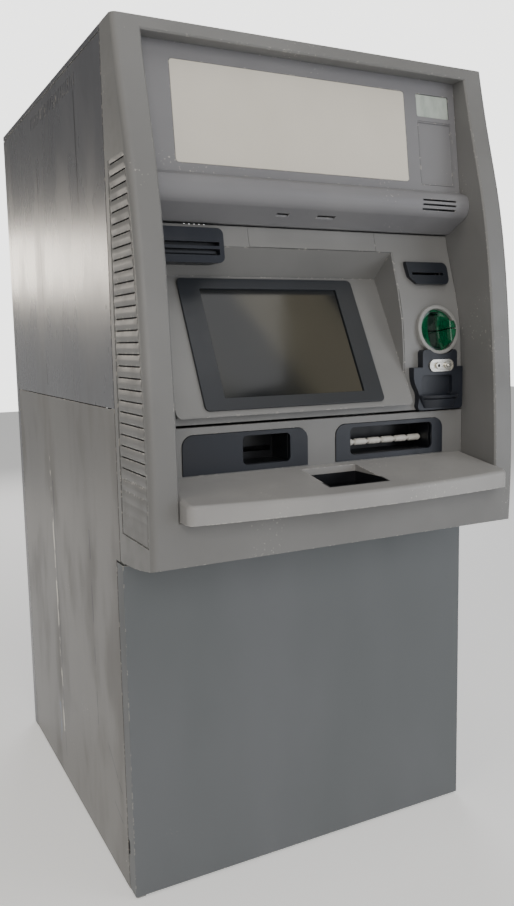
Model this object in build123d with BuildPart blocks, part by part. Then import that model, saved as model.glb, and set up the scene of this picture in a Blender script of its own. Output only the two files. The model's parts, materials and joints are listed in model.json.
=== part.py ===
from build123d import *
import os
from math import atan2, cos, degrees, hypot, radians, sin, tan

os.makedirs("parts", exist_ok=True)

# A floor-standing self-service cash terminal: a steel safe below, an equipment head above it,
# and a moulded fascia in front of the head. Z is up, -Y is the customer's side, +X is the
# customer's right. The origin is on the floor, at the middle of the outer box. Sizes are in mm.

# Overall sizes
width = 800.0
cabinet_depth = 890.0  # lower door's face to the back
shelf_reach = 227.0  # shelf's nose in front of the lower door's face
deck = 700.0  # top of the safe, where the head stands
head_height = 928.0

height = deck + head_height
half = width / 2
back = (cabinet_depth + shelf_reach) / 2
front = back - cabinet_depth  # lower door's face

# Sheet work and gaps
sheet = 2.0
reveal = 3.0  # dark line between two covers
trim = 0.6  # panel edge to the wall beside it
slack = 0.3  # between two pieces that move past each other
run_fit = 0.05  # radial, shaft in its hole

# Safe and rear frame
safe_wall = 12.0
safe_setback = 40.0
frame_depth = 30.0
frame_face = 14.0
doorway_half = half - 48.0
doorway_sill = 48.0
anchor_x = 560.0
anchor_y = 600.0
anchor_radius = 9.0
cable_radius = 25.0
weld_gap = 0.2  # between welded plates
safe_half = half - sheet
safe_front = front + safe_setback
safe_back = back - frame_depth
safe_middle = (safe_front + safe_back) / 2

# Head
seam = deck + 262.0  # between the lower and upper side panels
head_front = front + 11.0
post = 25.0
tray_level = deck + 400.0
plate = 3.0
louvre_count = 28
louvre_pitch = 14.0

# Fascia
fascia_base = deck - 1.0
heel_drop = 20.0  # the fascia's lower edge hangs this much lower at the back
stile = 51.0
moulding = 9.0  # fascia wall, thick enough for its rounded corners
edge_round = 12.0
opening_bevel = 3.0
rib_inset = 2.0  # depth of the ribbed field in each outer side
opening_half = half - stile
opening_base = deck + 79.0
opening_top = height - 23.0
inner_half = opening_half - trim
skin = 3.0  # wall of the moulded inner panels

# Note pockets in the lower inner panel
pocket_base = deck + 150.0
pocket_top = deck + 205.0
left_pocket = (-178.0, -76.0)
right_pocket = (62.0, 267.0)
panel_face = front - 61.0
shutter_gap = 4.0
guide_width = 3.7
throat_wall = 3.0
throat_end = front + 12.0
shaft_radius = 4.0
roller_radius = 7.0
roller_count = 6

# Screen
screen_tilt = 27.5
screen_foot = (front - 88.0, deck + 248.0)
surround_left = -(opening_half - 31.0)
surround_right = opening_half - 149.0
surround_base = deck + 246.0
surround_top = deck + 557.0
glass_width = 306.0
glass_height = 230.0
glass_middle = -66.0
glass_rise = 147.0  # up the slope, foot to the glass's centre
bezel_side = 43.0
bezel_end = 23.0

# Card reader
reader_x = opening_half - 65.0
reader_z = deck + 396.0
reader_tilt = 8.8
ring_radius = 52.0
insert_radius = 43.0
base_left = opening_half - 138.0
base_right = opening_half - 9.6
card_gap = 2.4
surround_round = 11.0

# Shelf
shelf_slope = 9.2
shelf_level = deck + 136.0
shelf_bow = 23.0
shelf_round = 8.0
aperture = (-62.0, 64.0, front - 185.0, front - 77.0)
well_depth = 24.0


def block(x0, x1, y0, y1, z0, z1, mode=Mode.ADD):
    """A box between two corners, in the current part."""
    with Locations(((x0 + x1) / 2, (y0 + y1) / 2, (z0 + z1) / 2)):
        Box(x1 - x0, y1 - y0, z1 - z0, mode=mode)


def rod_x(x0, x1, y, z, radius, mode=Mode.ADD):
    with Locations(((x0 + x1) / 2, y, z)):
        Cylinder(radius, x1 - x0, rotation=(0, 90, 0), mode=mode)


def rod_y(x, y0, y1, z, radius, mode=Mode.ADD):
    with Locations((x, (y0 + y1) / 2, z)):
        Cylinder(radius, y1 - y0, rotation=(90, 0, 0), mode=mode)


def rod_z(x, y, z0, z1, radius, mode=Mode.ADD):
    with Locations((x, y, (z0 + z1) / 2)):
        Cylinder(radius, z1 - z0, mode=mode)


# ---- Safe ----

cable_at = -doorway_half + 150.0
transport_way = (right_pocket[0], right_pocket[1] - 20.0, front + 70.0, front + 230.0)

with BuildPart() as safe_body:
    room = safe_half - safe_wall
    room_front = safe_front + safe_wall + weld_gap
    room_back = safe_back - safe_wall - weld_gap
    block(-safe_half, safe_half, safe_front, safe_back, 0, safe_wall)
    block(-safe_half, safe_half, safe_front, safe_back, deck - safe_wall, deck)
    block(*transport_way, deck - safe_wall, deck, Mode.SUBTRACT)
    with Locations((0, safe_middle, safe_wall / 2)):
        with GridLocations(anchor_x, anchor_y, 2, 2):
            Cylinder(anchor_radius, safe_wall, mode=Mode.SUBTRACT)
    rod_z(cable_at, safe_front + 90, 0, safe_wall, cable_radius, Mode.SUBTRACT)
    wall_base = safe_wall + weld_gap
    wall_top = deck - safe_wall - weld_gap
    block(-safe_half, safe_half, safe_front, safe_front + safe_wall, wall_base, wall_top)
    for x0 in (-safe_half, room):
        block(x0, x0 + safe_wall, room_front, room_back, wall_base, wall_top)
    jamb = doorway_half + weld_gap
    for x0, x1 in ((-safe_half, -jamb), (jamb, safe_half)):
        block(x0, x1, safe_back - safe_wall, safe_back, wall_base, wall_top)
    block(-doorway_half, doorway_half, safe_back - safe_wall, safe_back, wall_base, doorway_sill)
    block(-doorway_half, doorway_half, safe_back - safe_wall, safe_back, deck - doorway_sill,
          wall_top)
safe_body.part.label = "safe_body"
export_step(safe_body.part, "parts/safe_body.step")

# ---- Rear frame and its barrel hinges ----

frame_front = safe_back
lower_way = (frame_face, deck - 6.0)
upper_way = (deck + 10.0, height - 27.0)
way_half = half - frame_face
barrel_radius = 5.5
pin_radius = 3.0
barrel_x = way_half - 1.5
barrel_y = back - 6.5
barrel_half = 34.0  # half of a hinge's length
knuckle_half = 11.7  # half of the door's own knuckle
door_face = back - 13.0  # outer face of both rear doors
safe_hinges = (lower_way[0] + 106, lower_way[1] - 114)
rear_hinges_z = (upper_way[0] + 110, upper_way[1] - 110)

with BuildPart() as rear_frame:
    block(-half, half, frame_front, back, 0, height - 13)
    block(-way_half, way_half, frame_front, back, *lower_way, Mode.SUBTRACT)
    block(-way_half, way_half, frame_front, back, *upper_way, Mode.SUBTRACT)
    for level in (*safe_hinges, *rear_hinges_z):
        block(way_half, barrel_x + barrel_radius + 1, door_face, back, level - barrel_half - 1,
              level + barrel_half + 1, Mode.SUBTRACT)
rear_frame.part.label = "rear_frame"
export_step(rear_frame.part, "parts/rear_frame.step")

with BuildPart() as rear_hinges:
    for level in (*safe_hinges, *rear_hinges_z):
        for low in (level - barrel_half, level + knuckle_half + slack):
            high = low + barrel_half - knuckle_half - slack
            rod_z(barrel_x, barrel_y, low, high, barrel_radius)
            block(barrel_x, barrel_x + barrel_radius + 1, barrel_y - 2, barrel_y + 2, low, high)
        rod_z(barrel_x, barrel_y, level - barrel_half, level + barrel_half, pin_radius)
rear_hinges.part.label = "rear_hinges"
export_step(rear_hinges.part, "parts/rear_hinges.step")


def door_knuckles(levels):
    """The door's half of each barrel hinge: a leaf on its face and one bored knuckle."""
    for level in levels:
        rod_z(barrel_x, barrel_y, level - knuckle_half, level + knuckle_half, barrel_radius)
        block(barrel_x - 24, barrel_x, door_face, barrel_y + 1, level - knuckle_half,
              level + knuckle_half)
        rod_z(barrel_x, barrel_y, level - knuckle_half, level + knuckle_half,
              pin_radius + run_fit, Mode.SUBTRACT)


# ---- Safe door, boltwork, handle and dial ----

leaf_half = way_half - reveal
safe_leaf = (lower_way[0] + reveal, lower_way[1] - reveal)
leaf_back = safe_back + 0.5
handle_at = (-200.0, deck * 0.6)
dial_at = (-60.0, deck * 0.6)
spindle_radius = 8.0
dial_spindle = 6.0
bolt_radius = 9.0
bolt_tip = -doorway_half + 6.0
bolt_y = safe_back - safe_wall - bolt_radius - 1
bolt_levels = (deck * 0.25, deck * 0.5, deck * 0.75)
guide_left = bolt_tip + 16.0

with BuildPart() as safe_door:
    block(-leaf_half, leaf_half, leaf_back, door_face, *safe_leaf)
    door_knuckles(safe_hinges)
    rod_y(handle_at[0], leaf_back, door_face, handle_at[1], spindle_radius + run_fit, Mode.SUBTRACT)
    rod_y(dial_at[0], leaf_back, door_face, dial_at[1], dial_spindle + run_fit, Mode.SUBTRACT)
safe_door.part.label = "safe_door"
export_step(safe_door.part, "parts/safe_door.step")

with BuildPart() as boltwork_frame:
    block(guide_left, guide_left + 30, bolt_y - bolt_radius - 4, leaf_back, bolt_levels[0] - 30,
          bolt_levels[-1] + 30)
    for level in bolt_levels:
        rod_x(guide_left, guide_left + 30, bolt_y, level, bolt_radius + run_fit, Mode.SUBTRACT)
    block(guide_left, dial_at[0] + 45, leaf_back - 3, leaf_back, dial_at[1] - 55, dial_at[1] + 55)
    block(dial_at[0] - 45, dial_at[0] + 45, leaf_back - 24, leaf_back, dial_at[1] - 55,
          dial_at[1] + 55)
    for (x, level), radius in ((handle_at, spindle_radius), (dial_at, dial_spindle)):
        rod_y(x, leaf_back - 24, leaf_back, level, radius + run_fit, Mode.SUBTRACT)
boltwork_frame.part.label = "boltwork_frame"
export_step(boltwork_frame.part, "parts/boltwork_frame.step")

with BuildPart() as lock_bolts:
    for level in bolt_levels:
        rod_x(bolt_tip, bolt_tip + 100, bolt_y, level, bolt_radius)
    block(bolt_tip + 88, bolt_tip + 100, bolt_y - 6, bolt_y + 6, bolt_levels[0] - 16,
          bolt_levels[-1] + 16)
lock_bolts.part.label = "lock_bolts"
export_step(lock_bolts.part, "parts/lock_bolts.step")

with BuildPart() as safe_handle:
    rod_y(handle_at[0], bolt_y + 8, door_face + 2, handle_at[1], spindle_radius)
    rod_y(handle_at[0], door_face + 0.5, back - 2, handle_at[1], 18)
    with BuildSketch(Plane.XZ.offset(-(door_face + 3))):
        with Locations((handle_at[0] - 45, handle_at[1])):
            SlotOverall(130, 20)
    extrude(amount=-8)
    rod_y(handle_at[0], bolt_y + 8, bolt_y + 12, handle_at[1], 24)
safe_handle.part.label = "safe_handle"
export_step(safe_handle.part, "parts/safe_handle.step")

with BuildPart() as combination_dial:
    rod_y(dial_at[0], leaf_back - 20, door_face + 2, dial_at[1], dial_spindle)
    rod_y(dial_at[0], door_face + 0.5, door_face + 5, dial_at[1], 38)
    rod_y(dial_at[0], door_face + 5, back - 1, dial_at[1], 24)
    block(dial_at[0] - 2.5, dial_at[0] + 2.5, back - 5, back - 1, dial_at[1] - 20, dial_at[1] + 20)
combination_dial.part.label = "combination_dial"
export_step(combination_dial.part, "parts/combination_dial.step")

# ---- Rear service door and its lock ----

upper_leaf = (upper_way[0] + reveal, upper_way[1] - reveal)
lock_at = (-half + 60.0, deck + 450.0)
lock_radius = 9.0

with BuildPart() as rear_service_door:
    block(-leaf_half, leaf_half, leaf_back, door_face, *upper_leaf)
    block(-leaf_half + sheet, leaf_half - sheet, leaf_back, door_face - sheet,
          upper_leaf[0] + sheet, upper_leaf[1] - sheet, Mode.SUBTRACT)
    door_knuckles(rear_hinges_z)
    rod_y(lock_at[0], leaf_back, door_face, lock_at[1], lock_radius + run_fit, Mode.SUBTRACT)
    for level in (deck + 170, deck + 730):
        with BuildSketch(Plane.XZ.offset(-door_face)):
            with Locations((0, level)):
                with GridLocations(16, 1, 22, 1):
                    SlotOverall(60, 5, rotation=90)
        extrude(amount=sheet, mode=Mode.SUBTRACT, both=True)
rear_service_door.part.label = "rear_service_door"
export_step(rear_service_door.part, "parts/rear_service_door.step")

cam_thick = 4.0
cam_length = 44.0
cam_back = safe_back - post - 2.0 - cam_thick  # turns behind the head frame's corner post
with BuildPart() as rear_lock:
    rod_y(lock_at[0], cam_back, door_face + 3, lock_at[1], lock_radius)
    rod_y(lock_at[0], door_face + 0.3, door_face + 3, lock_at[1], 13)
    block(lock_at[0] - 6, lock_at[0] + 6, cam_back, cam_back + cam_thick, lock_at[1] - cam_length,
          lock_at[1] + 8)
    block(lock_at[0] - 1, lock_at[0] + 1, door_face + 1.5, door_face + 3, lock_at[1] - 6,
          lock_at[1] + 6, Mode.SUBTRACT)
rear_lock.part.label = "rear_lock"
export_step(rear_lock.part, "parts/rear_lock.step")

# ---- Head frame: base plate, posts, top ring and equipment tray ----

ring_top = height - 3.0
ring_base = ring_top - post
tray_setback = 89.0  # equipment tray behind the head's front edge

with BuildPart() as head_frame:
    block(-safe_half, safe_half, head_front, safe_back, deck, deck + plate)
    block(*transport_way, deck, deck + plate, Mode.SUBTRACT)
    for x0 in (-safe_half, safe_half - post):
        for y0 in (head_front, safe_back - post):
            block(x0, x0 + post, y0, y0 + post, deck + plate + weld_gap, ring_base - weld_gap)
        block(x0, x0 + post, head_front, safe_back, ring_base, ring_top)
    for y0 in (head_front, safe_back - post):
        block(-safe_half + post + weld_gap, safe_half - post - weld_gap, y0, y0 + post, ring_base,
              ring_top)
    block(-safe_half, safe_half, head_front + tray_setback, safe_back - post - weld_gap,
          tray_level, tray_level + plate)
head_frame.part.label = "head_frame"
export_step(head_frame.part, "parts/head_frame.step")

# ---- Side panels and roof ----

panel_front = front + 14.0
panel_back = safe_back - sheet
door_depth = 35.0
fascia_heel = fascia_base - heel_drop
door_top = fascia_heel - 7.0

for side, left_face in (("left", -half), ("right", half - sheet)):
    with BuildPart() as lower_side_panel:
        with BuildSketch(Plane.YZ.offset(left_face)):
            with BuildLine():
                Polyline((front + door_depth + reveal, 3), (panel_back, 3),
                         (panel_back, seam - 1), (panel_front, seam - 1),
                         (panel_front, door_top + 4), (front + door_depth + reveal, door_top + 4),
                         close=True)
            make_face()
        extrude(amount=sheet)
    lower_side_panel.part.label = f"lower_side_panel_{side}"
    export_step(lower_side_panel.part, f"parts/lower_side_panel_{side}.step")

    with BuildPart() as upper_side_panel:
        with BuildSketch(Plane.YZ.offset(left_face)):
            with Locations(((panel_front + panel_back) / 2, (seam + 1 + height - 13) / 2)):
                Rectangle(panel_back - panel_front, height - 13 - seam - 1)
            with Locations((front + 375, height - 44)):
                with GridLocations(louvre_pitch, 1, louvre_count, 1):
                    SlotOverall(26, 4, rotation=90, mode=Mode.SUBTRACT)
        extrude(amount=sheet)
    upper_side_panel.part.label = f"upper_side_panel_{side}"
    export_step(upper_side_panel.part, f"parts/upper_side_panel_{side}.step")

with BuildPart() as roof_panel:
    block(-half, half, panel_front, back, height - 10, height)
    block(-half + sheet, half - sheet, panel_front, back - sheet, height - 10, ring_top,
          Mode.SUBTRACT)
roof_panel.part.label = "roof_panel"
export_step(roof_panel.part, "parts/roof_panel.step")

# ---- Lower front door, hung on two concealed pivots ----

pivot_x = -half + 12.0
pivot_y = front + 14.0
pivot_radius = 4.0
door_base = 6.0

with BuildPart() as front_door:
    block(-half, half, front, front + door_depth, door_base, door_top)
    block(-half + sheet, half - sheet, front + sheet, front + door_depth, door_base + sheet,
          door_top - sheet, Mode.SUBTRACT)
    rod_z(pivot_x, pivot_y, door_base, door_top, pivot_radius + run_fit, Mode.SUBTRACT)
    block(-half, -half + sheet, front + door_depth - 9, front + door_depth, 80, 110, Mode.SUBTRACT)
front_door.part.label = "front_door"
export_step(front_door.part, "parts/front_door.step")

with BuildPart() as front_door_pivots:
    block(pivot_x - 8, pivot_x + 10, front + 5, safe_front, 0, door_base - 1)
    rod_z(pivot_x, pivot_y, door_base - 1, door_base + 12, pivot_radius)
    block(pivot_x - 8, pivot_x + 10, front + 5, safe_front, door_top + 1, fascia_heel - 1)
    rod_z(pivot_x, pivot_y, door_top - 12, door_top + 1, pivot_radius)
front_door_pivots.part.label = "front_door_pivots"
export_step(front_door_pivots.part, "parts/front_door_pivots.step")

with BuildPart() as front_door_catch:
    block(half - 40, half - 14, front + sheet + 0.5, safe_front, deck / 2 - 30, deck / 2 + 30)
    block(half - 34, half - 20, front + sheet + 0.5, front + sheet + 8, deck / 2 - 18,
          deck / 2 + 18, Mode.SUBTRACT)
front_door_catch.part.label = "front_door_catch"
export_step(front_door_catch.part, "parts/front_door_catch.step")

# ---- Fascia frame ----

profile = ((-161.3, fascia_base), (-165.0, deck + 150), (-154.5, deck + 364),
           (-115.0, deck + 665), (-88.0, deck + 772), (-52.0, height))
rib_base = deck + 35.0
rib_top = deck + 812.0

with BuildPart() as fascia_frame:
    with BuildSketch(Plane.YZ.offset(-half)):
        with BuildLine():
            nose = Spline(*[(front + y, z) for y, z in profile])
            Polyline(nose @ 1, (head_front, height), (head_front, fascia_heel))
            ThreePointArc((head_front, fascia_heel), (front - 70, fascia_heel + 5), nose @ 0)
        make_face()
    extrude(amount=width)
    upright = faces().sort_by(Axis.Y)[0].edges().filter_by(GeomType.LINE, reverse=True)
    fillet(upright, edge_round)
    block(-opening_half, opening_half, front - 200, head_front, opening_base, opening_top,
          Mode.SUBTRACT)
    chamfer(faces().sort_by(Axis.Y)[0].inner_wires()[0].edges(), opening_bevel)
    for x0 in (-half, half - rib_inset):
        with BuildSketch(Plane.YZ.offset(x0)):
            with BuildLine():
                brow = Spline(*[(front + y + edge_round + 3, z) for y, z in profile])
                Polyline(brow @ 1, (front - 6, height), (front - 6, fascia_base), brow @ 0)
            make_face()
            with Locations((front - 90, rib_top)):
                Rectangle(200, 2 * (height - rib_top), mode=Mode.SUBTRACT)
            with Locations((front - 90, fascia_base)):
                Rectangle(200, 2 * (rib_base - fascia_base), mode=Mode.SUBTRACT)
        extrude(amount=rib_inset, mode=Mode.SUBTRACT)
    for x0, x1 in ((-half + moulding, -opening_half - moulding / 2),
                   (opening_half + moulding / 2, half - moulding)):
        with BuildSketch(Plane.YZ.offset(x0)):
            with BuildLine():
                inner = Spline(*[(front + y + moulding, z) for y, z in profile])
                Polyline(inner @ 1, (head_front, height), (head_front, fascia_base), inner @ 0)
            make_face()
            with Locations((front, height)):
                Rectangle(width, 2 * moulding, mode=Mode.SUBTRACT)
            with Locations((front, fascia_base)):
                Rectangle(width, 2 * moulding, mode=Mode.SUBTRACT)
        extrude(amount=x1 - x0, mode=Mode.SUBTRACT)
    block(-opening_half, opening_half, front - 161 + moulding, head_front,
          fascia_base + moulding, opening_base - 8, Mode.SUBTRACT)
    block(aperture[0] - 7, aperture[1] + 7, aperture[2] - 5, aperture[3] + 7, opening_base - 8,
          opening_base, Mode.SUBTRACT)
fascia_frame.part.label = "fascia_frame"
export_step(fascia_frame.part, "parts/fascia_frame.step")

# ---- Hood: sign plane above, roll below ----

crease = deck + 680.0
hood_base = deck + 599.0
lean = degrees(atan2(26.5, 225.0))
sign_slope = opening_top - crease
sign_plane = Plane(origin=(0, front - 48, crease), x_dir=(1, 0, 0),
                   z_dir=(0, -cos(radians(lean)), sin(radians(lean))))
slant = 1 / cos(radians(lean))


def slope_y(z, wall=0.0):
    """Where the sign's plane, or the back of its wall, stands at a height."""
    return front - 48 + (z - crease) * tan(radians(lean)) + wall * slant


# Places on the sign plane: x, and distance up the slope from the crease.
sign = (-inner_half + 60.4, inner_half - 130.4, 16 * slant, sign_slope * slant - 30)
window = (sign[1] + 32, inner_half - 16.4, sign[3] - 45, sign[3])
blank = (sign[1] + 32, inner_half - 12.4, 12 * slant, window[2] - 10)


def on_slope(place, grow=0.0, corner=6.0, mode=Mode.ADD):
    """A rounded rectangle sketched on the sign plane."""
    with Locations(((place[0] + place[1]) / 2, (place[2] + place[3]) / 2)):
        RectangleRounded(place[1] - place[0] + 2 * grow, place[3] - place[2] + 2 * grow,
                         max(corner + grow, 0.5), mode=mode)


vent_slots = (window[0] - 20, inner_half - 34.4)
recess = 2.5  # window and blank panel below the sign plane

with BuildPart() as hood_panel:
    with BuildSketch(Plane.YZ.offset(-inner_half)):
        with BuildLine():
            Polyline((head_front, hood_base), (head_front, opening_top),
                     (slope_y(opening_top), opening_top), (front - 48, crease),
                     (front - 70, crease - 9))
            ThreePointArc((front - 70, crease - 9), (front - 78, crease - 30),
                          (front - 64, crease - 55))
            Polyline((front - 64, crease - 55), (front - 13, hood_base), (head_front, hood_base))
        make_face()
    extrude(amount=2 * inner_half)
    with BuildSketch(Plane.YZ.offset(-inner_half)):
        with BuildLine():
            Polyline((head_front, hood_base + skin), (head_front, opening_top - skin),
                     (slope_y(opening_top - skin, skin), opening_top - skin),
                     (slope_y(crease - 2, skin), crease - 2), (front - 67, crease - 12))
            ThreePointArc((front - 67, crease - 12), (front - 75, crease - 30),
                          (front - 62, crease - 52))
            Polyline((front - 62, crease - 52), (front - 12, hood_base + skin),
                     (head_front, hood_base + skin))
        make_face()
    extrude(amount=2 * inner_half, mode=Mode.SUBTRACT)
    with BuildSketch(sign_plane):
        on_slope(sign, trim)
        on_slope(window, trim, 3)
        on_slope(blank, trim, 3)
    extrude(amount=8, both=True, mode=Mode.SUBTRACT)
    for level in (crease - 24, crease - 33, crease - 42):
        block(*vent_slots, front - 90, front - 60, level - 1.75, level + 1.75, Mode.SUBTRACT)
    for x0, x1 in ((-89, -63), (0, 40)):
        block(x0, x1, front - 60, front - 40, crease - 70, crease - 62, Mode.SUBTRACT)
hood_panel.part.label = "hood_panel"
export_step(hood_panel.part, "parts/hood_panel.step")

# ---- Pieces set in the hood ----

with BuildPart() as sign_panel:
    with BuildSketch(sign_plane):
        on_slope(sign)
    extrude(amount=-skin)
sign_panel.part.label = "sign_panel"
export_step(sign_panel.part, "parts/sign_panel.step")

with BuildPart() as sign_light:
    with BuildSketch(sign_plane.offset(-skin)):
        on_slope(sign, 6)
    extrude(amount=-14)
    with BuildSketch(sign_plane.offset(-skin)):
        on_slope(sign, -4, 10)
    extrude(amount=-11, mode=Mode.SUBTRACT)
    with BuildSketch(sign_plane.offset(-skin - 11)):
        with Locations(((sign[0] + sign[1]) / 2, (sign[2] + sign[3]) / 2)):
            with GridLocations(50, 60, 9, 3):
                Rectangle(16, 12)
    extrude(amount=2)
sign_light.part.label = "sign_light"
export_step(sign_light.part, "parts/sign_light.step")

with BuildPart() as camera_window:
    with BuildSketch(sign_plane.offset(-recess)):
        on_slope(window, 0, 3)
    extrude(amount=-skin)
camera_window.part.label = "camera_window"
export_step(camera_window.part, "parts/camera_window.step")

with BuildPart() as surveillance_camera:
    with BuildSketch(sign_plane.offset(-recess - skin)):
        on_slope(window, 5, 3)
        on_slope(window, -3, 3, Mode.SUBTRACT)
    extrude(amount=-30)
    with BuildSketch(sign_plane.offset(-recess - skin - 30)):
        on_slope(window, 5, 3)
    extrude(amount=-3)
    with BuildSketch(sign_plane.offset(-recess - skin - 30)):
        with Locations(((window[0] + window[1]) / 2, (window[2] + window[3]) / 2)):
            Circle(12)
    extrude(amount=20)
surveillance_camera.part.label = "surveillance_camera"
export_step(surveillance_camera.part, "parts/surveillance_camera.step")

with BuildPart() as blank_panel:
    with BuildSketch(sign_plane):
        on_slope(blank, 0, 3)
    extrude(amount=-skin)
    with BuildSketch(sign_plane):
        on_slope(blank, -2.5, 3)
    extrude(amount=-recess, mode=Mode.SUBTRACT)
    with BuildSketch(sign_plane.offset(-skin)):
        on_slope(blank, 3, 3)
    extrude(amount=-skin)
blank_panel.part.label = "blank_panel"
export_step(blank_panel.part, "parts/blank_panel.step")

with BuildPart() as speaker:
    block(vent_slots[0], vent_slots[1], front - 40, front - 34, crease - 56, crease - 5)
    with BuildSketch(Plane.XZ.offset(-(front - 34))):
        with Locations((sum(vent_slots) / 2, crease - 30)):
            Circle(23)
    extrude(amount=-20, taper=25)
    block(vent_slots[0], vent_slots[0] + 6, front - 66, front - 40, crease - 48, crease - 40)
    block(vent_slots[1] - 6, vent_slots[1], front - 66, front - 40, crease - 48, crease - 40)
speaker.part.label = "speaker"
export_step(speaker.part, "parts/speaker.step")

tilt = radians(screen_tilt)
face_length = (deck + 507 - screen_foot[1]) / cos(tilt)
face_head = (screen_foot[0] + face_length * sin(tilt), screen_foot[1] + face_length * cos(tilt))
screen_plane = Plane(origin=(glass_middle, *screen_foot), x_dir=(1, 0, 0),
                     z_dir=(0, -cos(tilt), sin(tilt)))
bezel_width = glass_width + 2 * bezel_side
bezel_height = glass_height + 2 * bezel_end
recess_lip = (front - 13, surround_top)
cheek = 3.0


def soffit_y(z):
    """Where the recess's sloping ceiling stands at a height."""
    share = (surround_top - z) / (surround_top - face_head[1])
    return recess_lip[0] + share * (face_head[0] - recess_lip[0])


# ---- Upper inner panel ----

panel_top = hood_base - 2.5
panel_line = ((-3, panel_top), (-11, deck + 564), (-35, deck + 485), (-51, deck + 416),
              (-57, deck + 343), (-62, deck + 232))
cover = (-130.0, 160.0, deck + 558.0)
left_slot = (-inner_half, -190.0, deck + 525.0, deck + 589.0)
right_slot = (surround_right + 22, inner_half - 20.4, deck + 492.0, deck + 538.0)
reader_face = (reader_x, front - 54.5, reader_z)
reader_plane = Plane(origin=reader_face, x_dir=(1, 0, 0),
                     z_dir=(0, -cos(radians(reader_tilt)), sin(radians(reader_tilt))))
base_step = deck + 320.0
base_foot = deck + 231.0
base_top = deck + 356.0


def panel_wall():
    """Outline of the inner panel's curved wall, seen from the side."""
    face = Spline(*[(front + y, z) for y, z in panel_line])
    rear = Spline(*[(front + y + skin, z) for y, z in panel_line])
    Line(face @ 0, rear @ 0)
    Line(face @ 1, rear @ 1)


def behind_panel():
    """Outline of everything behind the inner panel's face, seen from the side."""
    face = Spline(*[(front + y, z) for y, z in panel_line])
    Polyline(face @ 1, (panel_face, panel_line[-1][1] - 2), (front + 60, panel_line[-1][1] - 2),
             (front + 60, panel_line[0][1]), face @ 0)


with BuildPart() as upper_inner_panel:
    with BuildSketch(Plane.YZ.offset(-inner_half)):
        with BuildLine():
            panel_wall()
        make_face()
    extrude(amount=2 * inner_half)
    block(-inner_half, inner_half, front - 3, head_front, panel_top - skin, panel_top)
    block(surround_left - trim, surround_right + trim, front - 90, front + 60,
          surround_base - trim, surround_top + trim, Mode.SUBTRACT)
    block(cover[0] - trim, cover[1] + trim, front - 90, front + 60, cover[2], deck + 600,
          Mode.SUBTRACT)
    block(left_slot[0], left_slot[1] + trim, front - 90, front + 5 + trim, left_slot[2] - trim,
          left_slot[3] + trim, Mode.SUBTRACT)
    block(right_slot[0] + 14, right_slot[1] - 14, front - 90, front + 5, right_slot[2] + 8,
          right_slot[3] - 8, Mode.SUBTRACT)
    with Locations(reader_plane):
        Cylinder(insert_radius + 1, 40, mode=Mode.SUBTRACT)
    block(base_left + 30, inner_half - 30, front - 90, front, base_foot + 30, base_step,
          Mode.SUBTRACT)
upper_inner_panel.part.label = "upper_inner_panel"
export_step(upper_inner_panel.part, "parts/upper_inner_panel.step")

with BuildPart() as centre_cover:
    with BuildSketch(Plane.YZ.offset(cover[0])):
        with BuildLine():
            panel_wall()
        make_face()
    extrude(amount=cover[1] - cover[0])
    block(cover[0], cover[1], front - 90, front + 60, deck, cover[2] + trim, Mode.SUBTRACT)
    block(cover[0], cover[1], front - 3, head_front, panel_top - skin, panel_top)
centre_cover.part.label = "centre_cover"
export_step(centre_cover.part, "parts/centre_cover.step")

with BuildPart() as left_slot_bezel:
    with BuildSketch(Plane.YZ.offset(left_slot[0])):
        with BuildLine():
            Polyline((front - 30, left_slot[2]), (front - 22, left_slot[3]),
                     (front + 5, left_slot[3]), (front + 5, surround_top + trim),
                     (recess_lip[0] - 2 * trim, surround_top + trim),
                     (soffit_y(left_slot[2]) - 2 * trim, left_slot[2]), close=True)
        make_face()
    extrude(amount=left_slot[1] - left_slot[0])
    with BuildSketch(Plane.XZ.offset(-(front + 30))):
        with Locations(((left_slot[0] + left_slot[1]) / 2, (left_slot[2] + left_slot[3]) / 2)):
            Rectangle(left_slot[1] - left_slot[0], left_slot[3] - left_slot[2])
        fillet(vertices().group_by(Axis.X)[-1], 12)
    extrude(amount=80, mode=Mode.INTERSECT)
    block(left_slot[0] + 10, left_slot[1] - 9, front - 60, front - 8, left_slot[2] + 31,
          left_slot[2] + 38, Mode.SUBTRACT)
    block(left_slot[0] + 10, left_slot[1] - 9, front - 60, front - 12, left_slot[2] + 14,
          left_slot[2] + 25, Mode.SUBTRACT)
    block(left_slot[0] + 14, left_slot[1] - 14, front - 19, front - 12, left_slot[2] + 17,
          left_slot[2] + 22)
left_slot_bezel.part.label = "left_slot_bezel"
export_step(left_slot_bezel.part, "parts/left_slot_bezel.step")

with BuildPart() as right_slot_bezel:
    with BuildSketch(Plane.XZ.offset(-(front - 22))):
        with BuildLine():
            Polyline((right_slot[0], right_slot[3]), (right_slot[1], right_slot[3]),
                     (right_slot[1], right_slot[2]), (right_slot[0] + 22, right_slot[2]),
                     (right_slot[0] + 4, right_slot[2] + 14), close=True)
        make_face()
        fillet(vertices().group_by(Axis.X)[-1], 13)
    extrude(amount=24)
    split(bisect_by=Plane(origin=(0, front - 43, right_slot[2]),
                          z_dir=(0, cos(radians(15)), -sin(radians(15)))))
    with BuildSketch(Plane.YZ.offset(right_slot[0])):
        with BuildLine():
            behind_panel()
        make_face()
    extrude(amount=right_slot[1] - right_slot[0], mode=Mode.SUBTRACT)
    block(right_slot[0] + 12, right_slot[1] - 12, front - 60, front + 10, right_slot[2] + 19,
          right_slot[2] + 24, Mode.SUBTRACT)
right_slot_bezel.part.label = "right_slot_bezel"
export_step(right_slot_bezel.part, "parts/right_slot_bezel.step")

# ---- Screen: surround, bezel, glass and display ----

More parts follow.
